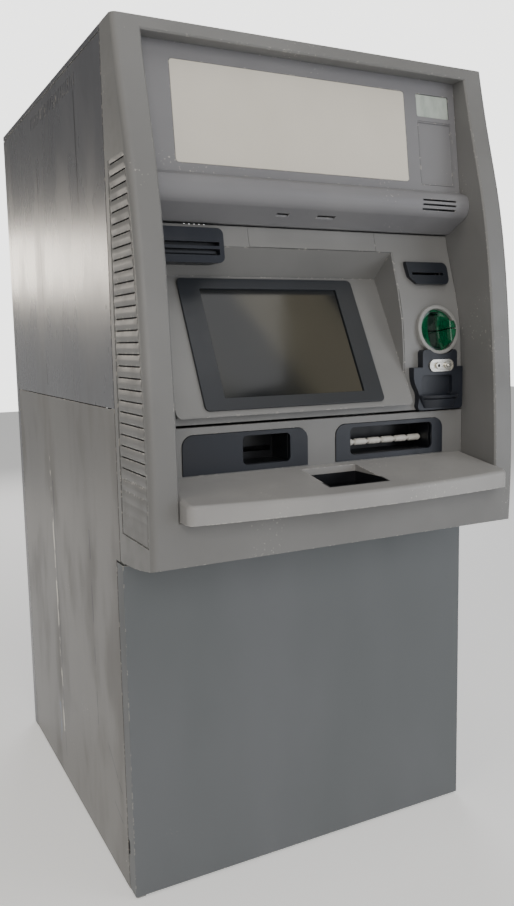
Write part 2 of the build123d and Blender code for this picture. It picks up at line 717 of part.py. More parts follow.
with BuildPart() as screen_surround:
    with BuildSketch(Plane.YZ.offset(surround_left)):
        with BuildLine():
            Polyline((screen_foot[0], screen_foot[1] - 2), screen_foot, face_head, recess_lip,
                     (front + 3, surround_top), (face_head[0] + 5, face_head[1] + 3),
                     (screen_foot[0] + 5, screen_foot[1] - 2), close=True)
        make_face()
    extrude(amount=surround_right - surround_left)
    for x0 in (surround_left, surround_right - cheek):
        with BuildSketch(Plane.YZ.offset(x0)):
            with BuildLine():
                Polyline((screen_foot[0], surround_base), screen_foot, (front - 57, deck + 309),
                         (front - 57, deck + 343), (front - 51, deck + 416),
                         (front - 35, deck + 485), recess_lip, (face_head[0], surround_top),
                         face_head, (front - 60, surround_base), close=True)
            make_face()
        extrude(amount=cheek)
    block(surround_left, surround_left + cheek, front - 40, soffit_y(left_slot[2]),
          left_slot[2] - trim, surround_top, Mode.SUBTRACT)
    block(surround_left, surround_right, screen_foot[0], front - 59, surround_base,
          surround_base + 2.5)
    with BuildSketch(screen_plane):
        with Locations((0, glass_rise)):
            RectangleRounded(glass_width + 20, glass_height + 12, 4)
    extrude(amount=10, both=True, mode=Mode.SUBTRACT)
    for edge, inward in ((surround_left, 1), (surround_right, -1)):
        with BuildSketch(Plane.XZ.offset(-(front - 30))):
            with Locations((edge + inward * surround_round / 2, surround_base + surround_round / 2)):
                Rectangle(surround_round, surround_round)
            with Locations((edge + inward * surround_round, surround_base + surround_round)):
                Circle(surround_round, mode=Mode.SUBTRACT)
        extrude(amount=70, mode=Mode.SUBTRACT)
screen_surround.part.label = "screen_surround"
export_step(screen_surround.part, "parts/screen_surround.step")

with BuildPart() as screen_bezel:
    with BuildSketch(screen_plane):
        with Locations((0, glass_rise)):
            RectangleRounded(bezel_width, bezel_height, 10)
            RectangleRounded(glass_width, glass_height, 2, mode=Mode.SUBTRACT)
    extrude(amount=5)
    chamfer(faces().sort_by(Axis.Z)[-1].edges(), 1)
screen_bezel.part.label = "screen_bezel"
export_step(screen_bezel.part, "parts/screen_bezel.step")

with BuildPart() as screen_glass:
    with BuildSketch(screen_plane):
        with Locations((0, glass_rise)):
            RectangleRounded(glass_width + 19, glass_height + 11, 3.5)
    extrude(amount=-3)
    with BuildSketch(screen_plane):
        with Locations((0, glass_rise)):
            RectangleRounded(glass_width - 0.4, glass_height - 0.4, 2)
    extrude(amount=1.5)
screen_glass.part.label = "screen_glass"
export_step(screen_glass.part, "parts/screen_glass.step")

with BuildPart() as display_module:
    with BuildSketch(screen_plane.offset(-3)):
        with Locations((0, glass_rise)):
            RectangleRounded(glass_width + 18, glass_height + 10, 4)
    extrude(amount=-24)
    with BuildSketch(screen_plane.offset(-27)):
        with Locations((0, glass_rise)):
            Rectangle(180, 110)
    extrude(amount=-12)
display_module.part.label = "display_module"
export_step(display_module.part, "parts/display_module.step")

# ---- Card reader ----

with BuildPart() as reader_ring:
    with BuildSketch(reader_plane.offset(-5)):
        Circle(ring_radius)
        Circle(insert_radius + trim, mode=Mode.SUBTRACT)
    extrude(amount=13)
    fillet(edges().filter_by(GeomType.CIRCLE).sort_by(Axis.Y)[:2], 2.5)
    with BuildSketch(Plane.YZ.offset(reader_x - ring_radius - 1)):
        with BuildLine():
            behind_panel()
        make_face()
    extrude(amount=2 * ring_radius + 2, mode=Mode.SUBTRACT)
reader_ring.part.label = "reader_ring"
export_step(reader_ring.part, "parts/reader_ring.step")

dish_radius = insert_radius - 5.0
dish_depth = 9.0
dish_ball = (dish_radius ** 2 + dish_depth ** 2) / (2 * dish_depth)
guide_left, guide_top, guide_reach = 12.0, 21.0, 24.0
with BuildPart() as reader_insert:
    with BuildSketch(reader_plane.offset(-12)):
        Circle(insert_radius)
    extrude(amount=12)
    with Locations(reader_plane.offset(dish_ball - dish_depth)):
        Sphere(dish_ball, mode=Mode.SUBTRACT)
    with BuildSketch(reader_plane.offset(-11)):
        with Locations((-4, 0)):
            Rectangle(26, 2 * insert_radius)
        Circle(dish_radius - 3, mode=Mode.INTERSECT)
    extrude(amount=20, mode=Mode.SUBTRACT)
    with BuildSketch(reader_plane.offset(-11.5)):
        Circle(insert_radius - 4)
        with Locations((guide_left, 0)):
            Rectangle(100, 100, align=(Align.MAX, Align.CENTER), mode=Mode.SUBTRACT)
        with Locations((0, guide_top)):
            Rectangle(100, 50, align=(Align.CENTER, Align.MIN), mode=Mode.SUBTRACT)
    extrude(amount=11.5 + guide_reach, taper=8)
    fillet(faces().sort_by(Axis.Y)[0].edges(), 3)
    with BuildSketch(reader_plane.offset(-12)):
        with Locations((12, 0)):
            Rectangle(58, card_gap)
    extrude(amount=40, mode=Mode.SUBTRACT)
reader_insert.part.label = "reader_insert"
export_step(reader_insert.part, "parts/reader_insert.step")

with BuildPart() as card_reader:
    with BuildSketch(reader_plane.offset(-12)):
        with Locations((0, 0)):
            RectangleRounded(78, 54, 4)
    extrude(amount=-150)
    with BuildSketch(reader_plane.offset(-12)):
        with Locations((12, 0)):
            Rectangle(58, card_gap)
    extrude(amount=-20, mode=Mode.SUBTRACT)
card_reader.part.label = "card_reader"
export_step(card_reader.part, "parts/card_reader.step")

base_front = front - 74.0
cup = (base_left + 21, inner_half - 36.4, deck + 262.0, deck + 303.0)
cup_lip = 3.0
scoop_middle = (base_left + base_right) / 2
scoop_half = (base_right - base_left) / 2 - 12
scoop_reach = 20.0
scoop_rim = deck + 262.0
with BuildPart() as reader_base:
    with BuildSketch(Plane.XZ.offset(-(front - 50))):
        with BuildLine():
            Polyline((base_left + 8, base_foot), (base_right, base_foot), (base_right, base_step),
                     (reader_x + 40, base_step), (reader_x + 40, base_top),
                     (reader_x - 50, base_top), (reader_x - 50, base_step),
                     (base_left, base_step), (base_left, base_step - 16))
            Spline((base_left, base_step - 16), (base_left + 13, base_foot + 34),
                   (base_left + 8, base_foot), tangents=((0, -1), (-0.3, -1)))
        make_face()
        fillet(vertices().group_by(Axis.Y)[-1], 8)
        fillet(vertices().group_by(Axis.Y)[0], 9)
    extrude(amount=front - 50 - base_front)
    for drop, share in ((0, 1), (26, 0.45)):
        with BuildSketch(Plane.XY.offset(scoop_rim - drop)):
            with Locations((scoop_middle, base_front)):
                Ellipse(scoop_half * (1 + share) / 2, scoop_reach * share)
                Rectangle(2 * scoop_half, 60, align=(Align.CENTER, Align.MIN), mode=Mode.SUBTRACT)
    loft()
    with Locations(reader_plane):
        Cylinder(ring_radius + trim, 80, mode=Mode.SUBTRACT)
    with BuildSketch(Plane.XY.offset(scoop_rim)):
        with Locations((scoop_middle, base_front)):
            Ellipse(scoop_half - cup_lip, scoop_reach - cup_lip)
        with Locations((cup[0], front - 63)):
            Rectangle(cup[1] - cup[0], 90, align=(Align.MIN, Align.MAX), mode=Mode.INTERSECT)
    extrude(amount=-9, mode=Mode.SUBTRACT)
    with BuildSketch(Plane.XZ.offset(-(front - 63))):
        with Locations(((cup[0] + cup[1]) / 2, (cup[2] + cup[3]) / 2)):
            RectangleRounded(cup[1] - cup[0], cup[3] - cup[2], 7)
    extrude(amount=60, mode=Mode.SUBTRACT)
    with BuildSketch(Plane.YZ.offset(base_left)):
        with BuildLine():
            behind_panel()
        make_face()
    extrude(amount=inner_half - base_left, mode=Mode.SUBTRACT)
reader_base.part.label = "reader_base"
export_step(reader_base.part, "parts/reader_base.step")

jack_middle = (reader_x - 2.5, deck + 323.0)
jack_hole, jack_dome = jack_middle[0] - 10, jack_middle[0] + 13
with BuildPart() as jack_plate:
    with BuildSketch(Plane.XZ.offset(-base_front)):
        with Locations(jack_middle):
            SlotOverall(63, 25)
    extrude(amount=3.2)
    with BuildSketch(Plane.XZ.offset(-(base_front - 3.2))):
        with Locations(jack_middle):
            SlotOverall(57, 19)
    extrude(amount=-1.4, mode=Mode.SUBTRACT)
    with BuildSketch(Plane.XZ.offset(-(base_front - 1))):
        for middle in (jack_hole, jack_dome):
            with Locations((middle, jack_middle[1])):
                Circle(6.5)
    extrude(amount=5)
    with Locations((jack_dome, base_front - 6, jack_middle[1])):
        Sphere(5)
    with BuildSketch(Plane.XZ.offset(-base_front)):
        with Locations((jack_hole, jack_middle[1])):
            Circle(3.2)
    extrude(amount=12, mode=Mode.SUBTRACT)
jack_plate.part.label = "jack_plate"
export_step(jack_plate.part, "parts/jack_plate.step")

# ---- Lower inner panel, note pockets, throats and shutters ----

plate_base = deck + 139.0
plate_top = deck + 213.0
plate_round = 22.0
pocket_round = 9.0
left_plate = (-inner_half + 48.4, -37.0)
right_plate = (28.0, inner_half - 53.4)
panel_foot = opening_base + 4.0
panel_head = deck + 227.0

with BuildPart() as lower_inner_panel:
    block(-inner_half, inner_half, panel_face, panel_face + skin, panel_foot, panel_head)
    block(-inner_half, inner_half, panel_face, panel_face + 14, panel_head - skin, panel_head)
    with BuildSketch(Plane.XZ.offset(-(panel_face + skin))):
        for low, high in (left_plate, right_plate):
            with Locations(((low + high) / 2, (plate_base + plate_top) / 2)):
                Rectangle(high - low + 2 * trim, plate_top - plate_base + 2 * trim)
        fillet(vertices().group_by(Axis.Y)[-1], plate_round + trim)
    extrude(amount=skin, mode=Mode.SUBTRACT)
lower_inner_panel.part.label = "lower_inner_panel"
export_step(lower_inner_panel.part, "parts/lower_inner_panel.step")

shutter_front = panel_face + 5.0
shutter_thick = 2.0
guide_back = panel_face + skin + 7.0
shutter_height = pocket_top - pocket_base + 5.5
shutter_low = pocket_base - shutter_height - 3.0
flange_back = guide_back + throat_wall
shaft_y = front - 20.0
shaft_z = (pocket_base + pocket_top) / 2 - 8.0
pockets = (("left", left_plate, left_pocket, "deposit"),
           ("right", right_plate, right_pocket, "note"))

for side, plate_span, hole, purpose in pockets:
    leaf = (hole[0] - shutter_gap, hole[1] + shutter_gap)
    outer = (leaf[0] - slack - guide_width, leaf[1] + slack + guide_width)
    with BuildPart() as pocket_plate:
        with BuildSketch(Plane.XZ.offset(-(panel_face + skin))):
            with Locations(((plate_span[0] + plate_span[1]) / 2, (plate_base + plate_top) / 2)):
                Rectangle(plate_span[1] - plate_span[0], plate_top - plate_base)
            fillet(vertices().group_by(Axis.Y)[-1], plate_round)
            with Locations(((hole[0] + hole[1]) / 2, (pocket_base + pocket_top) / 2)):
                RectangleRounded(hole[1] - hole[0], pocket_top - pocket_base, pocket_round,
                                 mode=Mode.SUBTRACT)
        extrude(amount=skin + 2)
        for x0 in (outer[0], leaf[1] + slack):
            block(x0, x0 + guide_width, panel_face + skin, guide_back, shutter_low - 3,
                  plate_top - 2)
    pocket_plate.part.label = f"{side}_pocket_plate"
    export_step(pocket_plate.part, f"parts/{side}_pocket_plate.step")

    with BuildPart() as transport:
        block(*outer, guide_back, flange_back, pocket_base - 10, pocket_top + 8)
        block(hole[0] - throat_wall, hole[1] + throat_wall, flange_back, throat_end,
              pocket_base - throat_wall, pocket_top + throat_wall)
        block(*hole, guide_back, throat_end, pocket_base, pocket_top, Mode.SUBTRACT)
        if purpose == "note":
            rod_x(hole[0] - throat_wall, hole[1] + throat_wall, shaft_y, shaft_z,
                  shaft_radius + run_fit, Mode.SUBTRACT)
        block(hole[0] - 12, hole[1] + 12, throat_end, front + 250, deck + plate, pocket_top + 3)
        block(hole[0] + 4, hole[1] - 4, throat_end, throat_end + 30, pocket_base + 14,
              pocket_base + 24, Mode.SUBTRACT)
    transport.part.label = f"{purpose}_transport"
    export_step(transport.part, f"parts/{purpose}_transport.step")

    with BuildPart() as shutter:
        block(*leaf, shutter_front, shutter_front + shutter_thick, shutter_low,
              shutter_low + shutter_height)
        block(leaf[0] + 10, leaf[1] - 10, shutter_front + shutter_thick,
              shutter_front + shutter_thick + 3, shutter_low, shutter_low + 3)
    shutter.part.label = f"{purpose}_shutter"
    export_step(shutter.part, f"parts/{purpose}_shutter.step")

roller_pitch = (right_pocket[1] - right_pocket[0]) / roller_count
with BuildPart() as presenter_rollers:
    rod_x(right_pocket[0] - throat_wall, right_pocket[1] + throat_wall, shaft_y, shaft_z,
          shaft_radius)
    for step in range(roller_count):
        middle = right_pocket[0] + roller_pitch * (step + 0.5)
        rod_x(middle - 13, middle + 13, shaft_y, shaft_z, roller_radius)
presenter_rollers.part.label = "presenter_rollers"
export_step(presenter_rollers.part, "parts/presenter_rollers.step")

# ---- Shelf and keypad well ----

shelf_plane = Plane(origin=(0, panel_face, shelf_level),
                    z_dir=(0, -sin(radians(shelf_slope)), cos(radians(shelf_slope))))
shelf_end = front - shelf_reach + shelf_bow
shelf_nose = front - shelf_reach
well_top = opening_base + 19.0
with BuildPart() as shelf:
    with BuildSketch(Plane.XY.offset(opening_base)):
        with BuildLine():
            ThreePointArc((-inner_half, shelf_end), (0, shelf_nose), (inner_half, shelf_end))
            Polyline((inner_half, shelf_end), (inner_half, panel_face), (-inner_half, panel_face),
                     (-inner_half, shelf_end))
        make_face()
        fillet(vertices().group_by(Axis.Y)[0], 16)
    extrude(amount=90)
    split(bisect_by=shelf_plane, keep=Keep.BOTTOM)
    top_edges = faces().sort_by(Axis.Z)[-1].edges().sort_by(Axis.Y)
    fillet(top_edges[:-1], shelf_round)
    block(-inner_half + 6, inner_half - 6, shelf_end + 8, panel_face - 4, opening_base, well_top,
          Mode.SUBTRACT)
    block(*aperture, opening_base, shelf_level, Mode.SUBTRACT)
shelf.part.label = "shelf"
export_step(shelf.part, "parts/shelf.step")

with BuildPart() as keypad_well:
    x0, x1, y0, y1 = aperture
    block(x0 - 6, x1 + 6, y0 - 4, y1 + 6, well_top - well_depth, well_top)
    block(x0 - 3.5, x1 + 3.5, y0 - 1.5, y1 + 3.5, well_top - well_depth + 2.5, well_top,
          Mode.SUBTRACT)
    with Locations(((x0 + x1) / 2, (y0 + y1) / 2, well_top - well_depth + 1)):
        with GridLocations(100, 90, 2, 2):
            Cylinder(2.2, 6, mode=Mode.SUBTRACT)
keypad_well.part.label = "keypad_well"
export_step(keypad_well.part, "parts/keypad_well.step")

# ---- Inside the head: printers, controller, supply and fan ----

with BuildPart() as receipt_printer:
    block(right_slot[0] + 6, right_slot[1] - 2, front + 102, front + 330, tray_level + plate,
          right_slot[3])
    block(right_slot[0] + 16, right_slot[1] - 16, front - 18, front + 102, right_slot[2] + 10,
          right_slot[3] - 10)
    block(right_slot[0] + 20, right_slot[1] - 20, front - 18, front + 110, right_slot[2] + 19,
          right_slot[2] + 24, Mode.SUBTRACT)
    block(right_slot[0] + 12, right_slot[1] - 8, front + 200, front + 324,
          tray_level + plate + 12, right_slot[3], Mode.SUBTRACT)
    for x0 in (right_slot[0] + 6, right_slot[1] - 8):
        rod_x(x0, x0 + 6, front + 262, right_slot[2] + 8, 6, Mode.SUBTRACT)
receipt_printer.part.label = "receipt_printer"
export_step(receipt_printer.part, "parts/receipt_printer.step")

with BuildPart() as paper_roll:
    rod_x(right_slot[0] + 6.5, right_slot[1] - 2.5, front + 262, right_slot[2] + 8, 6 - run_fit)
    rod_x(right_slot[0] + 14, right_slot[1] - 10, front + 262, right_slot[2] + 8, 42)
paper_roll.part.label = "paper_roll"
export_step(paper_roll.part, "parts/paper_roll.step")

with BuildPart() as statement_printer:
    block(left_slot[0] + 6, left_slot[1] + 20, front + 102, front + 330, tray_level + plate,
          left_slot[3])
    block(left_slot[0] + 16, left_slot[1] - 16, front + 5, front + 102, surround_top + 2,
          left_slot[3] - 4)
statement_printer.part.label = "statement_printer"
export_step(statement_printer.part, "parts/statement_printer.step")

with BuildPart() as controller:
    block(-330, -120, front + 420, front + 780, tray_level + plate, tray_level + 210)
    for level in (tray_level + 60, tray_level + 120):
        block(-300, -150, front + 774, front + 780, level, level + 8, Mode.SUBTRACT)
controller.part.label = "controller"
export_step(controller.part, "parts/controller.step")

with BuildPart() as power_supply:
    block(60, 240, front + 480, front + 780, tray_level + plate, tray_level + 130)
power_supply.part.label = "power_supply"
export_step(power_supply.part, "parts/power_supply.step")

fan_at = (0.0, tray_level + 320.0)
fan_y = (safe_back - 60.0, safe_back - 30.0)
with BuildPart() as fan_housing:
    block(fan_at[0] - 62, fan_at[0] + 62, *fan_y, fan_at[1] - 62, fan_at[1] + 62)
    rod_y(fan_at[0], *fan_y, fan_at[1], 56, Mode.SUBTRACT)
    rod_y(fan_at[0], fan_y[0], fan_y[0] + 5, fan_at[1], 18)
    block(fan_at[0] - 62, fan_at[0] + 62, fan_y[0], fan_y[0] + 5, fan_at[1] - 4, fan_at[1] + 4)
    rod_y(fan_at[0], fan_y[0], fan_y[0] + 20, fan_at[1], 3)
    for x0 in (fan_at[0] - 62, fan_at[0] + 54):
        block(x0, x0 + 8, fan_y[0], fan_y[0] + 5, tray_level + plate, fan_at[1])
        block(x0, x0 + 8, fan_y[0] - 20, fan_y[0] + 5, tray_level + plate, tray_level + plate + 4)
fan_housing.part.label = "fan_housing"
export_step(fan_housing.part, "parts/fan_housing.step")

with BuildPart() as fan_rotor:
    rod_y(fan_at[0], fan_y[0] + 6, fan_y[1] - 2, fan_at[1], 19)
    with Locations((fan_at[0], (fan_y[0] + fan_y[1]) / 2 + 2, fan_at[1])):
        with Locations(Plane.XZ):
            with PolarLocations(34, 7):
                Box(38, 16, 2.5, rotation=(35, 0, 0))
    rod_y(fan_at[0], fan_y[0] + 6, fan_y[1] - 6, fan_at[1], 3 + run_fit, Mode.SUBTRACT)
fan_rotor.part.label = "fan_rotor"
export_step(fan_rotor.part, "parts/fan_rotor.step")

# ---- Inside the safe: dispenser, cassettes and deposit bin ----

cassette_width = 236.0
cassette_height = 104.0
cassette_pitch = 118.0
cassette_count = 4
rack_x = 46.0
rack_y = (front + 90.0, front + 700.0)
rack_top = deck - safe_wall - 20.0
shelf_span = (rack_x - 2 + weld_gap, rack_x + cassette_width + 2 - weld_gap)
with BuildPart() as dispenser_rack:
    for x0 in (rack_x - 6, rack_x + cassette_width + 2):
        block(x0, x0 + 4, rack_y[0], rack_y[1], safe_wall, rack_top)
    block(rack_x - 6, rack_x + cassette_width + 6, rack_y[0], rack_y[0] + 150,
          rack_top + weld_gap, rack_top + 4)
    for step in range(cassette_count + 1):
        level = safe_wall + 30 + step * cassette_pitch
        block(*shelf_span, rack_y[0] + 150 + weld_gap, rack_y[1], level - 3, level)
    block(*shelf_span, rack_y[0], rack_y[0] + 150, safe_wall + 30, rack_top)
dispenser_rack.part.label = "dispenser_rack"
export_step(dispenser_rack.part, "parts/dispenser_rack.step")

with BuildPart() as cassettes:
    for step in range(cassette_count):
        level = safe_wall + 30 + step * cassette_pitch
        block(rack_x, rack_x + cassette_width, rack_y[0] + 152, rack_y[1] - 10, level,
              level + cassette_height)
        block(rack_x + 60, rack_x + cassette_width - 60, rack_y[1] - 34, rack_y[1] - 10,
              level + 50, level + 84, Mode.SUBTRACT)
        block(rack_x + 60, rack_x + cassette_width - 60, rack_y[1] - 18, rack_y[1] - 10,
              level + 62, level + 72)
cassettes.part.label = "cassettes"
export_step(cassettes.part, "parts/cassettes.step")

with BuildPart() as deposit_bin:
    block(-300, -60, front + 300, front + 700, safe_wall, 420)
    fillet(edges().filter_by(Axis.Z), 8)
    block(-230, -130, front + 690, front + 700, 330, 370, Mode.SUBTRACT)
deposit_bin.part.label = "deposit_bin"
export_step(deposit_bin.part, "parts/deposit_bin.step")
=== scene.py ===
# Self-service cash terminal: finishes, fittings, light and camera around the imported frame.
import json
import math

import bmesh
import bpy
from mathutils import Matrix, Vector


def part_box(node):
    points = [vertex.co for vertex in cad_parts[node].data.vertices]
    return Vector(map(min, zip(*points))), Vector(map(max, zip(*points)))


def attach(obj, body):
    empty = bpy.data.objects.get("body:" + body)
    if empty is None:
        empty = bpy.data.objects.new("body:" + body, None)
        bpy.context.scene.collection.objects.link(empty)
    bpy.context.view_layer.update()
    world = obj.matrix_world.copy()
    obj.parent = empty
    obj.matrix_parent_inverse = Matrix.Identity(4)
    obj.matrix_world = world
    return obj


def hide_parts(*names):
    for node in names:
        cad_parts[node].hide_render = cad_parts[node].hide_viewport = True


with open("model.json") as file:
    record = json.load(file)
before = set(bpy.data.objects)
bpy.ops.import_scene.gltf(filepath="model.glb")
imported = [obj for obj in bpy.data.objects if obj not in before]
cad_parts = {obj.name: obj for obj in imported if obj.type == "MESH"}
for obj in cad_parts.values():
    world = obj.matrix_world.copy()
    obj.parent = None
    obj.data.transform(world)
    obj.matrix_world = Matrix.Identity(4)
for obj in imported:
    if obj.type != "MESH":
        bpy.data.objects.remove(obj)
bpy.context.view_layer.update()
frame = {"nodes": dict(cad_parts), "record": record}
nodes = frame["nodes"]
mm = 0.001
print("frame loaded:", len(nodes), "nodes")

# Depths on the machine are counted from the lower door's face
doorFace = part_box("front_door")[0].y


# A colour written as on a paint chart, turned into light values
def linear(hexText, alpha=1.0):
    parts = [int(hexText[i:i + 2], 16) / 255 for i in (1, 3, 5)]
    return (*[p / 12.92 if p <= 0.04045 else ((p + 0.055) / 1.055) ** 2.4 for p in parts], alpha)


# One node with its values, its links and its settings
def put(tree, kind, values=None, links=None, **settings):
    made = tree.nodes.new(kind)
    for name, value in settings.items():
        setattr(made, name, value)
    for socket, value in (values or {}).items():
        made.inputs[socket].default_value = value
    for socket, source in (links or {}).items():
        tree.links.new(source, made.inputs[socket])
    return made


def startMaterial(name, values):
    material = bpy.data.materials.new(name)
    material.use_nodes = True
    tree = material.node_tree
    tree.nodes.clear()
    shader = put(tree, "ShaderNodeBsdfPrincipled", values)
    put(tree, "ShaderNodeOutputMaterial", links={"Surface": shader.outputs[0]})
    place = put(tree, "ShaderNodeTexCoord").outputs["Object"]
    return material, tree, shader, place


# Colour or number: below where the mask is 0, above where it is 1
def maskedMix(tree, mask, below, above):
    if isinstance(below, (int, float)):
        mix = put(tree, "ShaderNodeMapRange", {3: below, 4: above}, {0: mask})
        return mix.outputs[0]
    mix = put(tree, "ShaderNodeMix", links={0: mask}, data_type="RGBA")
    for socket, colour in ((6, below), (7, above)):
        if isinstance(colour, tuple):
            mix.inputs[socket].default_value = colour
        else:
            tree.links.new(colour, mix.inputs[socket])
    return mix.outputs[2]


# 0 to 1 patches about sizeMm across, cut between low and high
def noiseMask(tree, place, sizeMm, low, high, detail=3.0, stretch=(1, 1, 1), seed=0.0):
    scaled = put(tree, "ShaderNodeMapping", {"Scale": stretch, "Location": (seed, seed, 0)},
                 {"Vector": place}).outputs[0]
    noise = put(tree, "ShaderNodeTexNoise", {"Scale": 1 / (sizeMm * mm), "Detail": detail},
                {"Vector": scaled}).outputs[0]
    return put(tree, "ShaderNodeMapRange", {1: low, 2: high}, {0: noise},
               interpolation_type="SMOOTHSTEP").outputs[0]


# A thin scuff on a side panel, along a straight line from start to end, broken up by noise
scuffBreaks = {"bends": 14.0, "endFade": 0.004, "gapMm": 26, "gapEdge": 0.03}


def lineMask(tree, place, line):
    (y0, z0), (y1, z1) = line["start"], line["end"]
    length = math.hypot(y1 - y0, z1 - z0)
    along = ((y1 - y0) / length, (z1 - z0) / length)
    wobble = put(tree, "ShaderNodeTexNoise", {"Scale": scuffBreaks["bends"], "Detail": 2.0},
                 {"Vector": place}).outputs[0]
    away = put(tree, "ShaderNodeVectorMath", {1: (0, y0, z0)}, {0: place}, operation="SUBTRACT").outputs[0]
    run = put(tree, "ShaderNodeVectorMath", {1: (0, along[0], along[1])}, {0: away},
              operation="DOT_PRODUCT").outputs[1]
    off = put(tree, "ShaderNodeVectorMath", {1: (0, along[1], -along[0])}, {0: away},
              operation="DOT_PRODUCT").outputs[1]
    sway = line["wobble"] * mm
    bend = put(tree, "ShaderNodeMath", {1: sway, 2: -sway / 2}, {0: wobble}, operation="MULTIPLY_ADD").outputs[0]
    bent = put(tree, "ShaderNodeMath", links={0: off, 1: bend}, operation="ADD").outputs[0]
    distance = put(tree, "ShaderNodeMath", links={0: bent}, operation="ABSOLUTE").outputs[0]
    width = line["width"] * mm
    across = put(tree, "ShaderNodeMapRange", {1: width / 2, 2: width, 3: 1.0, 4: 0.0}, {0: distance}).outputs[0]
    centred = put(tree, "ShaderNodeMath", {1: length / 2}, {0: run}, operation="SUBTRACT").outputs[0]
    fromMiddle = put(tree, "ShaderNodeMath", links={0: centred}, operation="ABSOLUTE").outputs[0]
    inside = put(tree, "ShaderNodeMapRange",
                 {1: length / 2 - scuffBreaks["endFade"], 2: length / 2, 3: 1.0, 4: 0.0},
                 {0: fromMiddle}).outputs[0]
    lowest, highest = line["gaps"] - scuffBreaks["gapEdge"], line["gaps"] + scuffBreaks["gapEdge"]
    gaps = noiseMask(tree, place, scuffBreaks["gapMm"], lowest, highest, 4.0, (1, 1, 0.4), line["seed"])
    whole = put(tree, "ShaderNodeMath", links={0: across, 1: inside}, operation="MULTIPLY").outputs[0]
    return put(tree, "ShaderNodeMath", links={0: whole, 1: gaps}, operation="MULTIPLY").outputs[0]


# Chips and rubbed paint along the edges, where a wide bevel normal leaves the true one
def edgeMask(tree, reachMm, low, high, place, seed):
    soft = put(tree, "ShaderNodeBevel", {"Radius": reachMm * mm}, samples=4).outputs[0]
    true = put(tree, "ShaderNodeNewGeometry").outputs["Normal"]
    turn = put(tree, "ShaderNodeVectorMath", links={0: soft, 1: true}, operation="DOT_PRODUCT").outputs[1]
    edge = put(tree, "ShaderNodeMapRange", {1: 0.99, 2: 0.86, 3: 0.0, 4: 1.0}, {0: turn}).outputs[0]
    chips = noiseMask(tree, place, 9, low, high, 5.0, (1, 1, 1), seed)
    return put(tree, "ShaderNodeMath", links={0: edge, 1: chips}, operation="MULTIPLY").outputs[0]


# Grain bump over a slightly rounded edge, so that no corner is razor sharp
def softBump(tree, shader, place, look):
    rounded = put(tree, "ShaderNodeBevel", {"Radius": look["edgeMm"] * mm}, samples=4).outputs[0]
    grain = put(tree, "ShaderNodeTexNoise", {"Scale": 1 / (look["grainMm"] * mm), "Detail": 3.0},
                {"Vector": place})
    bump = put(tree, "ShaderNodeBump", {"Strength": look["grain"], "Distance": 0.4 * mm},
               {"Height": grain.outputs[0], "Normal": rounded})
    tree.links.new(bump.outputs[0], shader.inputs["Normal"])


# 1 inside a box given by its lowest and highest corner, in metres
def insideBox(tree, place, corners):
    axes = put(tree, "ShaderNodeSeparateXYZ", links={0: place}).outputs
    tests = []
    for axis, lowest, highest in zip(axes, *corners):
        tests.append(put(tree, "ShaderNodeMath", {1: lowest}, {0: axis}, operation="GREATER_THAN").outputs[0])
        tests.append(put(tree, "ShaderNodeMath", {1: highest}, {0: axis}, operation="LESS_THAN").outputs[0])
    mask = tests[0]
    for test in tests[1:]:
        mask = put(tree, "ShaderNodeMath", links={0: mask, 1: test}, operation="MULTIPLY").outputs[0]
    return mask


# Colour and gloss that drift slowly and are rubbed in patches, with chipped edges, and black painted shade
# inside a given box where one is asked for
def paintedSurface(name, look, values, lines=()):
    material, tree, shader, place = startMaterial(name, values)
    slow = noiseMask(tree, place, look["driftMm"], 0.3, 0.7, 3.0, look["stretch"])
    colour = maskedMix(tree, slow, linear(look["colour"]), linear(look["drift"]))
    rub = noiseMask(tree, place, look["rubMm"], 0.44, 0.74, 6.0, look["stretch"], 3.1)
    rough = maskedMix(tree, rub, look["gloss"], look["dull"])
    fine = noiseMask(tree, place, 5, 0.63, 0.7, 6.0, (1, 1, 1), 7.7)
    broad = noiseMask(tree, place, 150, look["scuffs"], look["scuffs"] + 0.12, 2.0, (1, 1, 1), 1.9)
    scuff = put(tree, "ShaderNodeMath", links={0: fine, 1: broad}, operation="MULTIPLY").outputs[0]
    colour = maskedMix(tree, scuff, colour, linear(look["scuffColour"]))
    chip = edgeMask(tree, 3.0, look["chips"], look["chips"] + 0.06, place, 5.5)
    colour = maskedMix(tree, chip, colour, linear(look["scuffColour"]))
    for line in lines:
        colour = maskedMix(tree, lineMask(tree, place, line), colour, linear(line["colour"]))
    # Painted shade: black inside the given box, down the walls of a hole
    if "shadeBox" in look:
        colour = maskedMix(tree, insideBox(tree, place, look["shadeBox"]), colour, linear(bay["wall"]))
    tree.links.new(colour, shader.inputs["Base Color"])
    tree.links.new(rough, shader.inputs["Roughness"])
    softBump(tree, shader, place, look)
    return material


# Card insert: a channel down the dish, where the clear plastic is thin over the black reader
channel = {"leftward": 0.0165, "rightward": 0.0085, "endMargin": 0.004, "through": 1.0}
low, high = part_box("reader_insert")
middle = (low.x + high.x) / 2
slotChannel = ((middle - channel["leftward"], low.y - channel["through"], low.z + channel["endMargin"]),
               (middle + channel["rightward"], high.y + channel["through"], high.z - channel["endMargin"]))

# The keypad's bay is empty; its walls carry painted shade, black from a little below the shelf's top
bay = {"reach": 0.004, "rim": 0.016, "left": -0.062, "right": 0.064, "front": -0.5165, "behind": -0.4045,
       "wall": "#121317"}
low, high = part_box("shelf")
keypadShadeBox = ((bay["left"] - bay["reach"], bay["front"] - bay["reach"], low.z),
              (bay["right"] + bay["reach"], bay["behind"] + bay["reach"], high.z - bay["rim"]))

